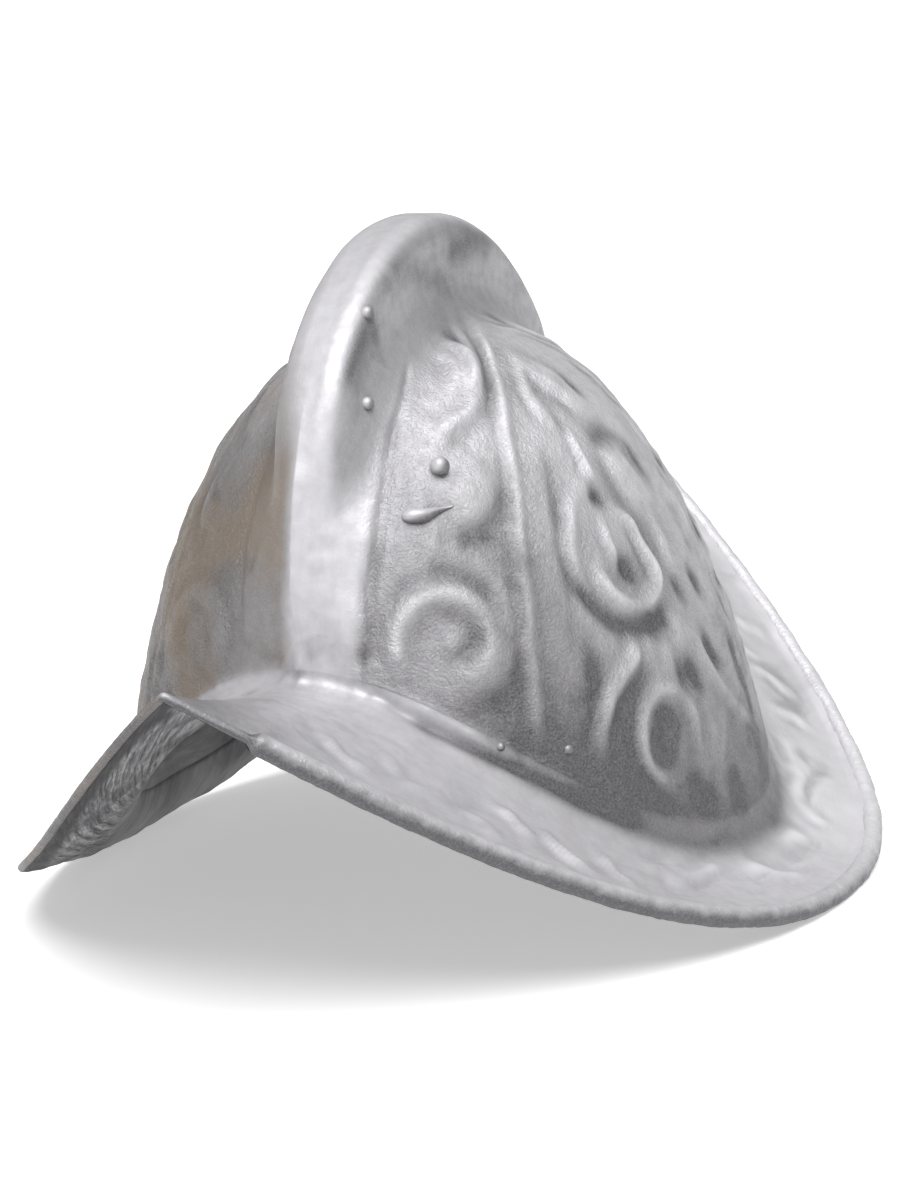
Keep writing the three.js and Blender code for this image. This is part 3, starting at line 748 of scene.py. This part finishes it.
# Painted shade in the deep hollows on the side and in the creases, with less of it on the relief's tops
on_side = smooth(38, 58, turn_shown) * near_crown
wash += on_side * HOLLOW_SHADE * smooth(0.2, -0.85, cavity)
wash += (SKULL_CREASE_SHADE * on_crown + CREASE_SHADE) * smooth(0.0, -0.8, edge)
wash *= 1 - SHADE_OFF_RELIEF * smooth(0.05, 1.3, edge)
wash = blur(wash, 2)
on_brim = 1 - on_crown
# Painted shade over the brim's front part, then darker still towards its front tip
wash += BRIM_SHADE * on_brim * (1 - smooth(45, 80, turn_shown)) * (1 - wash)
from_tip = np.linalg.norm(skin - rim_point(np.zeros(1)), axis=-1)
wash += TIP_DARKENING * on_brim * np.exp(-(from_tip / TIP_DARKENING_REACH) ** 2)
outward = on_brim * (1 - near_crown)
# Painted light on the brim's outer part at the side and further back, carried in the relief's highlight mask
bright = SIDE_BRIGHT * smooth(60, 86, turn_shown) + BACK_BRIGHT * smooth(84, 112, np.abs(turn_round))
edge += outward * bright
grain = on_crown * (1 - on_comb) + 0.12 + 0.5 * np.clip(wash, 0, 1)
lift = lift_of(skin - HEART)
flow = np.stack([skin[..., 0], lift * 130, np.linalg.norm(skin - HEART, axis=-1)], -1)
arc = np.cumsum(np.linalg.norm(np.diff(rim_point(TURNS), axis=0, append=rim_point(TURNS[:1])), axis=1))
arc = np.minimum(arc, arc[-1] - arc)


def paint(piece, **masks):
    for name, values in masks.items():
        if values.ndim == 2:
            attribute = piece.data.attributes.new(name, "FLOAT_VECTOR", "POINT")
            attribute.data.foreach_set("vector", values.astype(np.float32).ravel())
        else:
            attribute = piece.data.attributes.new(name, "FLOAT", "POINT")
            attribute.data.foreach_set("value", values.astype(np.float32))


def skin_masks(part, extra):
    """Masks of the skin's columns in part, then values for as many further points."""
    def tail(values, fill):
        flat = values[:, part].reshape(-1, *values.shape[2:])
        return np.concatenate([flat, np.full((extra, *flat.shape[1:]), fill)])
    return {"edge": tail(edge, 0.0), "wash": tail(wash, 0.0), "grain": tail(grain, 0.3),
            "brown": tail(right_side, 0.0), "inside": tail(np.zeros_like(wash), 0.0)}


# Crown piece

INNER_ROWS = 18


def crown_inner(turns):
    angles = np.linspace(0, np.pi / 2, INNER_ROWS, endpoint=False)
    levels = (1 - np.cos(angles) ** (1 / SKULL_DOME_ROUND)) ** (1 / SKULL_DOME_POWER)
    levels = FOOT_LEVEL + (1 - FOOT_LEVEL) * levels
    return np.stack([skull_point(turns, level, SKULL_WALL) for level in levels], 1)


inner = crown_inner(TURNS)
inner += 0.4 * lumps(inner, 23, 9)[..., None] * unit(HEART - inner)
rows = len(TURNS)
crown_shown = skin_shown[:, SEAM:-1]
columns = crown_shown.shape[1]
pole = rows * columns
first = pole + 1
inner_pole = first + rows * INNER_ROWS
crown_points = np.concatenate([
    crown_shown.reshape(-1, 3),
    skin_shown[:1, -1],
    inner.reshape(-1, 3),
    [[0, 0, RIM_LIFT + SKULL_HEIGHT - SKULL_WALL]],
])
crown_outer_faces = [grid_faces(rows, columns), pole_faces(rows, columns, 0, pole)]
crown_inner_faces = [
    grid_faces(rows, INNER_ROWS, first, flip=True),
    pole_faces(rows, INNER_ROWS, first, inner_pole, flip=True),
    ring_faces(rows, 0, columns, first, INNER_ROWS),
]
crown_object = make_piece("crown_shell", crown_points, crown_outer_faces + crown_inner_faces)

# Brim piece: top, then under side from the rim in to the lip round the head opening

RIM_BLEND = 22.0
UNDER_ROWS = 24
LIP_ROWS = 8
LIP_REACH = 12.0
UNDER_BRUSH_TURN = -32.0
width = np.linalg.norm(rim_point(TURNS) - skull_base(TURNS), axis=-1)
lip_share = LIP_REACH / width
under_shares = 1 + (lip_share[:, None] - 1) * np.linspace(0, 1, UNDER_ROWS)[None, :]
under = np.stack([brim_point(TURNS, under_shares[:, j]) for j in range(UNDER_ROWS)], 1)
under[..., 2] += SHEET_LIFT * smooth(0, 0.5, under_shares)
under_normals = unit(np.cross(np.roll(under, -1, 0) - np.roll(under, 1, 0), np.gradient(under, axis=1)))
rim_depth = rim_radius(TURNS)[:, None] + SHEET_LIFT
to_rim = 1 - smooth(0, RIM_BLEND, (1 - under_shares) * width[:, None])
depth = BRIM_WALL + (rim_depth - BRIM_WALL) * to_rim
under = under - under_normals * depth[..., None]
lip_end = inner[:, 0]
lip_corner = skull_base(TURNS, SKULL_WALL) - [0, 0, 1.0]
t = np.linspace(0, 1, LIP_ROWS + 1)[1:][None, :, None]
lip = (1 - t) ** 2 * under[:, -1:] + 2 * t * (1 - t) * lip_corner[:, None] + t ** 2 * lip_end[:, None]
under = np.concatenate([under, lip], 1)
hollow = 0.35 * lumps(under, 21, 11) + 0.14 * lumps(under, 7, 12)
hollow[:, 0] = hollow[:, -1] = 0
under[..., 2] += hollow
under_columns = under.shape[1]
brim_shown = skin_shown[:, :SEAM + 1]
brim_columns = SEAM + 1
second = rows * brim_columns
brim_points = np.concatenate([brim_shown.reshape(-1, 3), under.reshape(-1, 3)])
brim_top_faces = [grid_faces(rows, brim_columns)]
brim_under_faces = [
    grid_faces(rows, under_columns, second, flip=True),
    ring_faces(rows, 0, brim_columns, second, under_columns),
    ring_faces(rows, brim_columns - 1, brim_columns, second + under_columns - 1, under_columns, flip=True),
]
brim_object = make_piece("brim_sheet", brim_points, brim_top_faces + brim_under_faces)

# The seam between crown and brim is shaded as one surface
shown_normals = grid_normals(skin_shown)
for piece, stride, column in ((crown_object, columns, 0), (brim_object, brim_columns, SEAM)):
    normals = np.zeros((len(piece.data.vertices), 3))
    normals[np.arange(rows) * stride + column] = shown_normals[:, SEAM]
    piece.data.normals_split_custom_set_from_vertices(normals.tolist())

crown_masks = skin_masks(slice(SEAM, -1), 1 + rows * INNER_ROWS + 1)
crown_masks["inside"][first:] = 1
crown_flow = np.concatenate([
    flow[:, SEAM:-1].reshape(-1, 3), flow[:1, -1], inner.reshape(-1, 3), inner[:1, -1]])
paint(crown_object, flow=crown_flow * MM, **crown_masks)
brim_masks = skin_masks(slice(0, SEAM + 1), rows * under_columns)
border = 1 - smooth(3, 15, (1 - under_shares) * width[:, None])
border = np.concatenate([border, np.zeros((rows, under_columns - UNDER_ROWS))], 1)
under_tree = surface_tree(under)
under_dark_patches = [stroke_on(under_tree, *row) for row in UNDER_DARK_PATCHES]
brim_masks["wash"][second:] = border.ravel() + stroke_height(under.reshape(-1, 3), under_dark_patches)
inside = smooth(UNDER_ROWS - 5, UNDER_ROWS + 2, np.arange(under_columns)) * np.ones((rows, 1))
brim_masks["inside"][second:] = inside.ravel()
top_flow = np.stack(np.broadcast_arrays(
    np.arange(brim_columns)[None, :] * 0.9, arc[:, None], np.zeros((1, 1))), -1)
inward = np.arange(under_columns)[None, :] * (width / UNDER_ROWS)[:, None]
cross_brush = math.radians(UNDER_BRUSH_TURN)
under_flow = np.stack(np.broadcast_arrays(
    inward * math.cos(cross_brush) + arc[:, None] * math.sin(cross_brush),
    arc[:, None] * math.cos(cross_brush) - inward * math.sin(cross_brush),
    np.zeros((1, 1))), -1)
brim_flow = np.concatenate([top_flow.reshape(-1, 3), under_flow.reshape(-1, 3)])
paint(brim_object, flow=brim_flow * MM, **brim_masks)


def set_face_materials(piece, blocks):
    """blocks: how many faces take each material slot, in order."""
    index = np.concatenate([np.full(number, slot) for number, slot in blocks])
    piece.data.polygons.foreach_set("material_index", index.astype(np.int32))


def count(faces):
    return sum(len(block) for block in faces)


# Rim piece

RIM_SIDES = 24
RIM_STATIONS = 1100


def rim_frame(turns):
    ahead, behind = rim_point(turns + 0.02), rim_point(turns - 0.02)
    tangent = unit(ahead - behind)
    out = rim_point(turns) - skull_base(turns)
    out = unit(out - tangent * np.sum(out * tangent, -1, keepdims=True))
    up = np.cross(out, tangent)
    return out, up


def rim_piece():
    turns = np.linspace(0, 2 * np.pi, RIM_STATIONS, endpoint=False)
    out, up = rim_frame(turns)
    angles = np.linspace(0, 2 * np.pi, RIM_SIDES, endpoint=False)
    section = out[:, None] * np.cos(angles)[None, :, None] + up[:, None] * np.sin(angles)[None, :, None]
    radius = rim_radius(turns)[:, None]
    grid = rim_point(turns)[:, None] + radius[..., None] * section
    rough = 0.12 * lumps(grid, 15, 21) + 0.08 * lumps(grid, 4.5, 22) + 0.06 * lumps(grid, 2.4, 23)
    rough = rough * radius / RIM_RADIUS
    grid = grid + rough[..., None] * section
    grid[..., 2] = np.maximum(grid[..., 2], 0)
    faces = []
    for side in range(RIM_SIDES):
        faces.append(ring_faces(RIM_STATIONS, side, RIM_SIDES, (side + 1) % RIM_SIDES, RIM_SIDES))
    piece = make_piece("rim_border", grid.reshape(-1, 3), faces)
    length = np.cumsum(np.linalg.norm(np.diff(rim_point(turns), axis=0, append=rim_point(turns[:1])), axis=1))
    length = np.minimum(length, length[-1] - length)
    rim_flow = np.stack(np.broadcast_arrays(
        np.abs(np.sin(angles / 2))[None, :] * 8, length[:, None], np.zeros((1, 1))), -1)
    thin = 1 - (rim_radius(turns) - THIN_RIM_RADIUS) / (RIM_RADIUS - THIN_RIM_RADIUS)
    from_front = np.degrees(np.minimum(turns, 2 * np.pi - turns))
    thin_edge = (thin * smooth(1, 5, from_front))[:, None] * np.ones(RIM_SIDES)
    far_edge = thin_edge * (turns > np.pi)[:, None]
    curl = np.exp(-((np.degrees(turns) - CURL_TURN) / 1.3) ** 2)[:, None] * np.ones(RIM_SIDES)
    lit = 1.2 * smooth(72, 108, from_front)[:, None] * (1 - thin_edge)
    # Painted light on the rim's back part, painted shade in the curl's gap, a darker thin edge, browner on
    # the helmet's right
    paint(piece, flow=rim_flow.reshape(-1, 3) * MM, edge=lit.ravel(),
          wash=(0.58 * thin_edge + 0.28 * far_edge + 0.45 * curl).ravel(),
          brown=0.4 * far_edge.ravel(), grain=np.full(thin_edge.size, 0.5))
    return piece


rim_object = rim_piece()


# Small castings and drips that stand on the skull

# The drops' lit side, as a direction: they are painted light on it and in painted shade, the primer colour,
# on the other
DROP_LIT_SIDE = unit(np.array([-0.40, -0.56, 0.68]))


def solid_along(name, path, side, up, widths, heights, ground=0.0, sides=20):
    """A closed round body: an elliptical section carried along a path."""
    angles = np.linspace(0, 2 * np.pi, sides, endpoint=False)
    ring = (side[:, None] * (widths[:, None] * np.cos(angles))[..., None]
            + up[:, None] * (heights[:, None] * np.sin(angles))[..., None])
    rings = path[1:-1, None] + ring[1:-1]
    stations = len(rings)
    points = np.concatenate([rings.reshape(-1, 3), path[:1], path[-1:]])
    across = np.arange(sides)
    after = (across + 1) % sides
    faces = []
    for i in range(stations - 1):
        faces.append(np.stack([i * sides + across, i * sides + after,
                               (i + 1) * sides + after, (i + 1) * sides + across], -1))
    faces.append(np.stack([across, np.full(sides, stations * sides), after], -1))
    last = (stations - 1) * sides
    faces.append(np.stack([last + across, last + after, np.full(sides, stations * sides + 1)], -1))
    piece = make_piece(name, points, faces)
    swelling = np.gradient(np.linalg.norm(ring[:, 0], axis=-1))[1:-1, None, None]
    slope = swelling * unit(np.gradient(path, axis=0))[1:-1, None]
    stride = np.linalg.norm(np.gradient(path, axis=0), axis=-1)[1:-1, None, None]
    outward = unit(unit(ring[1:-1]) * stride - slope)
    ends = [unit(path[:1] - path[1:2]), unit(path[-1:] - path[-2:-1])]
    outward = np.concatenate([outward.reshape(-1, 3), *ends])
    # Painted shade: 0.8 on the side turned from the light, down to ground on the lit side
    shade = ground + (0.8 - ground) * (1 - smooth(-0.1, 0.75, outward @ DROP_LIT_SIDE))
    total = len(points)
    paint(piece, edge=np.full(total, 0.2), wash=shade, brown=np.zeros(total), grain=np.full(total, 0.3),
          flow=np.zeros((total, 3)))
    return piece


def bead(name, pixel, radius, rise, seed, ground=0.0):
    """A round drop on the surface; rise is how much of the ball stands proud, in radii."""
    place, normal = seen_at(shown_tree, pixel)
    centre = place + normal * radius * (rise - 1)
    side = unit(np.cross(normal, [0, 0, 1.0]))
    other = np.cross(normal, side)
    turn = np.linspace(0, np.pi, 14)
    path = centre - normal * (np.cos(turn) * radius)[:, None]
    size = np.sin(turn) * radius * (1 + 0.05 * lumps(path, radius * 3, seed))
    ones = np.ones((len(turn), 1))
    return solid_along(name, path, side * ones, other * ones, size, size, ground)


def leaf_drop(name, marks, width, height):
    """A drop with a round end that runs out to a point."""
    hits = [seen_at(shown_tree, pixel) for pixel in curve_through(marks, 2.0)]
    path = np.array([hit[0] for hit in hits])
    up = np.array([hit[1] for hit in hits])
    evened = [np.convolve(np.pad(up[:, k], 3, "edge"), np.ones(7) / 7, "valid") for k in range(3)]
    up = unit(np.stack(evened, -1))
    tangent = unit(np.gradient(path, axis=0))
    side = np.cross(up, tangent)
    share = np.linspace(0, 1, len(path))
    round_end = np.sqrt(np.clip(1 - (np.clip(0.28 - share, 0, 1) / 0.28) ** 2, 0, 1))
    profile = round_end * (1 - smooth(0.3, 1.0, share) * 0.86)
    path = path + up * (0.25 * height * profile)[:, None]
    return solid_along(name, path, side, up, width * profile, height * profile)


shown_tree = surface_tree(skin_shown)
small_pieces = [
    bead("ball_stud", (439, 468), 2.9, 1.35, 31),
    leaf_drop("leaf_drop", (401, 515, 410, 517, 424, 516, 438, 511, 454, 506), 2.3, 2.2),
    bead("comb_drip_low", (367, 404), 2.1, 1.0, 32),
    bead("comb_drip_high", (367, 313), 2.2, 0.9, 33),
    bead("foot_drip", (501, 747), 1.3, 0.8, 34, 0.3),
    bead("ring_drip", (569, 750), 1.7, 0.5, 35, 0.6),
]


# Camera, floor and light

def add_camera():
    right, up, back, place = camera_axes()
    data = bpy.data.cameras.new("camera")
    camera = bpy.data.objects.new("camera", data)
    bpy.context.scene.collection.objects.link(camera)
    data.sensor_width = 36
    data.lens = PHOTO_FOCAL / PHOTO_HEIGHT * data.sensor_width
    data.clip_start = 0.05
    data.clip_end = 60
    rows = [[right[i], up[i], back[i], place[i] * MM] for i in range(3)] + [[0, 0, 0, 1]]
    camera.matrix_world = Matrix(rows)
    bpy.context.scene.camera = camera


class Paint:
    """A procedural material, and short calls for its nodes."""

    def __init__(self, name):
        self.material = bpy.data.materials.new(name)
        self.material.use_nodes = True
        self.tree = self.material.node_tree
        self.shader = self.tree.nodes["Principled BSDF"]
        self.place = self.node("ShaderNodeTexCoord").outputs["Object"]
        self.flow = self.attribute("flow", "Vector")

    def node(self, kind, inputs=None, **settings):
        node = self.tree.nodes.new(kind)
        for key, value in settings.items():
            setattr(node, key, value)
        for key, value in (inputs or {}).items():
            self.feed(node.inputs[key], value)
        return node

    def feed(self, socket, value):
        if isinstance(value, bpy.types.NodeSocket):
            self.tree.links.new(value, socket)
        else:
            socket.default_value = value

    def attribute(self, name, output="Fac"):
        return self.node("ShaderNodeAttribute", attribute_name=name).outputs[output]

    def noise(self, scale, detail=3.0, rough=0.5, along=None, twist=0.0):
        """Noise in space, or, with along, streaks drawn out along the flow by that factor."""
        vector = self.place
        if along:
            inputs = {"Vector": self.flow, "Scale": (1, 1 / along, 1)}
            vector = self.node("ShaderNodeMapping", inputs).outputs[0]
        inputs = {
            "Vector": vector, "Scale": scale, "Detail": detail, "Roughness": rough, "Distortion": twist}
        return self.node("ShaderNodeTexNoise", inputs).outputs["Fac"]

    def span(self, value, low, high, start=0.0, end=1.0):
        inputs = {"Value": value, "From Min": low, "From Max": high, "To Min": start, "To Max": end}
        return self.node("ShaderNodeMapRange", inputs, interpolation_type="SMOOTHSTEP").outputs["Result"]

    def math(self, operation, first, second):
        return self.node("ShaderNodeMath", {0: first, 1: second}, operation=operation).outputs[0]

    def times(self, first, second):
        return self.math("MULTIPLY", first, second)

    def plus(self, first, second):
        return self.math("ADD", first, second)

    def mix(self, share, first, second):
        node = self.node("ShaderNodeMix", {0: share}, data_type="RGBA")
        self.feed(node.inputs[6], first if isinstance(first, bpy.types.NodeSocket) else (*first, 1))
        self.feed(node.inputs[7], second if isinstance(second, bpy.types.NodeSocket) else (*second, 1))
        return node.outputs[2]

    def bump(self, height, distance, below=None):
        inputs = {"Height": height, "Distance": distance, "Strength": 1.0}
        if below:
            inputs["Normal"] = below
        return self.node("ShaderNodeBump", inputs).outputs["Normal"]

    def finish(self, colour, roughness, normal, metallic):
        names = ("Base Color", "Roughness", "Normal", "Metallic")
        for name, value in zip(names, (colour, roughness, normal, metallic)):
            self.feed(self.shader.inputs[name], value)
        return self.material


SILVER = (0.63, 0.62, 0.645)
SILVER_WORN = (0.50, 0.49, 0.515)
SILVER_LIT = (0.86, 0.85, 0.875)
# The dark colours serve both as primer and as painted shade
PRIMER_AND_SHADE = (0.055, 0.053, 0.058)
UNDER_PRIMER_AND_SHADE = (0.032, 0.031, 0.034)
SILVER_DULL = (0.56, 0.56, 0.57)
# Brown tint, laid where the brown mask is set
BROWN_TINT = (0.30, 0.235, 0.17)


def silver_paint(name, streaks=0.5, stipple=1.0, primer_shade_from=0.0, primer_shade_to=-0.5, metal=0.34):
    """Silver paint over dark primer: lighter on the relief as painted highlight, darker in its hollows as
    painted shade.

    Faces looking down, between the two primer limits of their normal's upward part, show primer, partly as
    painted shade.
    """
    paint = Paint(name)
    blotch = paint.noise(16, 4)
    speck = paint.noise(240, 4)
    fleck = paint.noise(1500, 4, 0.6)
    brushed = paint.noise(420, 3, along=14)
    edge = paint.attribute("edge")
    wash = paint.attribute("wash")
    grain = paint.attribute("grain")
    normal = paint.node("ShaderNodeNewGeometry").outputs["Normal"]
    up = paint.node("ShaderNodeSeparateXYZ", {0: normal}).outputs["Z"]
    # Faces that look down take the primer colour: partly real primer, partly painted shade under them
    uneven = paint.plus(up, paint.span(paint.noise(150, 5, 0.6), 0.3, 0.7, -0.1, 0.1))
    below = paint.span(uneven, primer_shade_from, primer_shade_to, 0, 0.94)
    below = paint.times(below, paint.span(edge, 0.4, 2.4, 1, 0.3))
    smudge = paint.span(paint.noise(38, 5, twist=0.6), 0.56, 0.72, 0, 0.22)
    dark = paint.plus(paint.times(wash, paint.span(blotch, 0.3, 0.7, 0.78, 1.15)), smudge)
    dark = paint.math("MAXIMUM", paint.math("MINIMUM", dark, 0.9), below)
    dark = paint.times(dark, paint.span(fleck, 0.32, 0.66, 0.88, 1.04))
    worn = paint.plus(paint.span(speck, 0.35, 0.7, 0, 0.5), paint.span(brushed, 0.4, 0.65, 0, streaks))
    colour = paint.mix(paint.math("MINIMUM", worn, 1.0), SILVER, SILVER_WORN)
    # Painted highlight: raised relief and the lit parts of brim and rim mix towards the light silver
    colour = paint.mix(paint.span(edge, 0.1, 2.2, 0, 0.95), colour, SILVER_LIT)
    # Painted shade: the darkening mask and the down-facing faces mix towards the dark primer colour
    colour = paint.mix(paint.math("MINIMUM", dark, 0.93), colour, PRIMER_AND_SHADE)
    # Brown tint over the helmet's right side and over the rim's thin edge there
    brown = paint.times(paint.attribute("brown"), paint.span(paint.noise(30, 4), 0.36, 0.64, 0.12, 0.6))
    colour = paint.mix(brown, colour, BROWN_TINT)
    roughness = paint.plus(paint.span(speck, 0.3, 0.7, 0.47, 0.57), paint.times(dark, -0.06))
    fine = paint.times(paint.noise(1300, 2, 0.6), grain)
    coarse = paint.times(paint.noise(520, 4, 0.6), grain)
    bumps = paint.bump(fine, 0.00034 * stipple)
    bumps = paint.bump(coarse, 0.0005 * stipple, bumps)
    bumps = paint.bump(brushed, 0.0002 * streaks, bumps)
    return paint.finish(colour, roughness, bumps, metal)


def underside_paint(name):
    """Dark primer with silver brushed over it in streaks, its darkness partly painted shade under the brim.
    """
    paint = Paint(name)
    strokes = paint.noise(280, 6, 0.7, along=8, twist=0.5)
    scuff = paint.noise(620, 4, 0.62, along=3)
    patch = paint.noise(34, 4, twist=0.5)
    silver = paint.times(paint.span(strokes, 0.33, 0.66), paint.span(patch, 0.34, 0.6, 0.4, 1.1))
    silver = paint.times(silver, paint.span(scuff, 0.3, 0.6, 0.35, 1.0))
    calm = paint.span(paint.noise(45, 4, 0.6, twist=0.4), 0.3, 0.7, 0.22, 0.5)
    inside = paint.attribute("inside")
    silver = paint.plus(paint.times(silver, paint.span(inside, 0, 1, 1, 0.15)), paint.times(calm, inside))
    silver = paint.times(silver, paint.span(paint.attribute("wash"), 0.0, 0.9, 0.8, 0.05))
    colour = paint.mix(silver, UNDER_PRIMER_AND_SHADE, SILVER_DULL)
    bumps = paint.bump(strokes, 0.0006)
    bumps = paint.bump(scuff, 0.0004, bumps)
    return paint.finish(colour, paint.span(strokes, 0.3, 0.7, 0.62, 0.5), bumps, 0.55)


WORLD_LIGHT = 0.3
scene = bpy.context.scene
scene.view_settings.view_transform = "Standard"
add_camera()
world = bpy.data.worlds.new("studio")
world.use_nodes = True
world.node_tree.nodes["Background"].inputs["Color"].default_value = (1, 1, 1, 1)
world.node_tree.nodes["Background"].inputs["Strength"].default_value = WORLD_LIGHT
scene.world = world


LIT_POINT = (0, 0, 0.09)
SKY_SOFTNESS = 44
# The floor's own light keeps the helmet's shadow as pale as a studio's
FLOOR_GLOW = 0.42


def aim(thing, azimuth, elevation, distance):
    """Place a light by its direction from the helmet, front = 0 degrees, and turn it to the helmet."""
    a, e = math.radians(azimuth), math.radians(elevation)
    away = Vector((math.sin(a) * math.cos(e), -math.cos(a) * math.cos(e), math.sin(e)))
    thing.location = Vector(LIT_POINT) + away * distance
    thing.rotation_euler = away.to_track_quat("Z", "Y").to_euler()


def add_light(name, kind, azimuth, elevation, distance, power):
    data = bpy.data.lights.new(name, kind)
    data.energy = power
    light = bpy.data.objects.new(name, data)
    scene.collection.objects.link(light)
    aim(light, azimuth, elevation, distance)
    return data


# Name, kind, azimuth and elevation in degrees, distance in metres, power
sky = add_light("sky", "SUN", 32, 66, 3, 3.1)
sky.angle = math.radians(SKY_SOFTNESS)
front = add_light("front", "AREA", 4, 14, 2.0, 0.9)
front.shape = "RECTANGLE"
front.size, front.size_y = 0.45, 1.3

bpy.ops.mesh.primitive_plane_add(size=80)
floor = bpy.context.object
floor.name = "floor"
floor_paint = bpy.data.materials.new("floor_white")
floor_paint.use_nodes = True
floor_shader = floor_paint.node_tree.nodes["Principled BSDF"]
for name, value in (
    ("Base Color", (0.86, 0.86, 0.865, 1)),
    ("Roughness", 0.9),
    ("Emission Color", (1, 1, 1, 1)),
    ("Emission Strength", FLOOR_GLOW),
):
    floor_shader.inputs[name].default_value = value
floor.data.materials.append(floor_paint)

crown_paint = silver_paint("crown_silver", streaks=0.2, stipple=1.0, primer_shade_from=-0.35, primer_shade_to=-0.8)
brim_paint = silver_paint("brim_silver", streaks=0.16, stipple=0.6, primer_shade_from=-0.2, primer_shade_to=-0.6)
rim_paint = silver_paint("rim_silver", streaks=0.2, stipple=1.5, primer_shade_from=1.05, primer_shade_to=-0.3)
under_paint = underside_paint("underside_primer")
for piece, top, nodes in (
    (crown_object, crown_paint, ("skull", "comb")),
    (brim_object, brim_paint, ("brim",)),
    (rim_object, rim_paint, ("rim_roll",)),
):
    piece.data.materials.append(top)
    piece.data.materials.append(under_paint)
    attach(piece, "root")
    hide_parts(*nodes)
for piece in small_pieces:
    piece.data.materials.append(crown_paint)
    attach(piece, "root")
set_face_materials(crown_object, ((count(crown_outer_faces), 0), (count(crown_inner_faces), 1)))
set_face_materials(brim_object, ((count(brim_top_faces), 0), (count(brim_under_faces), 1)))
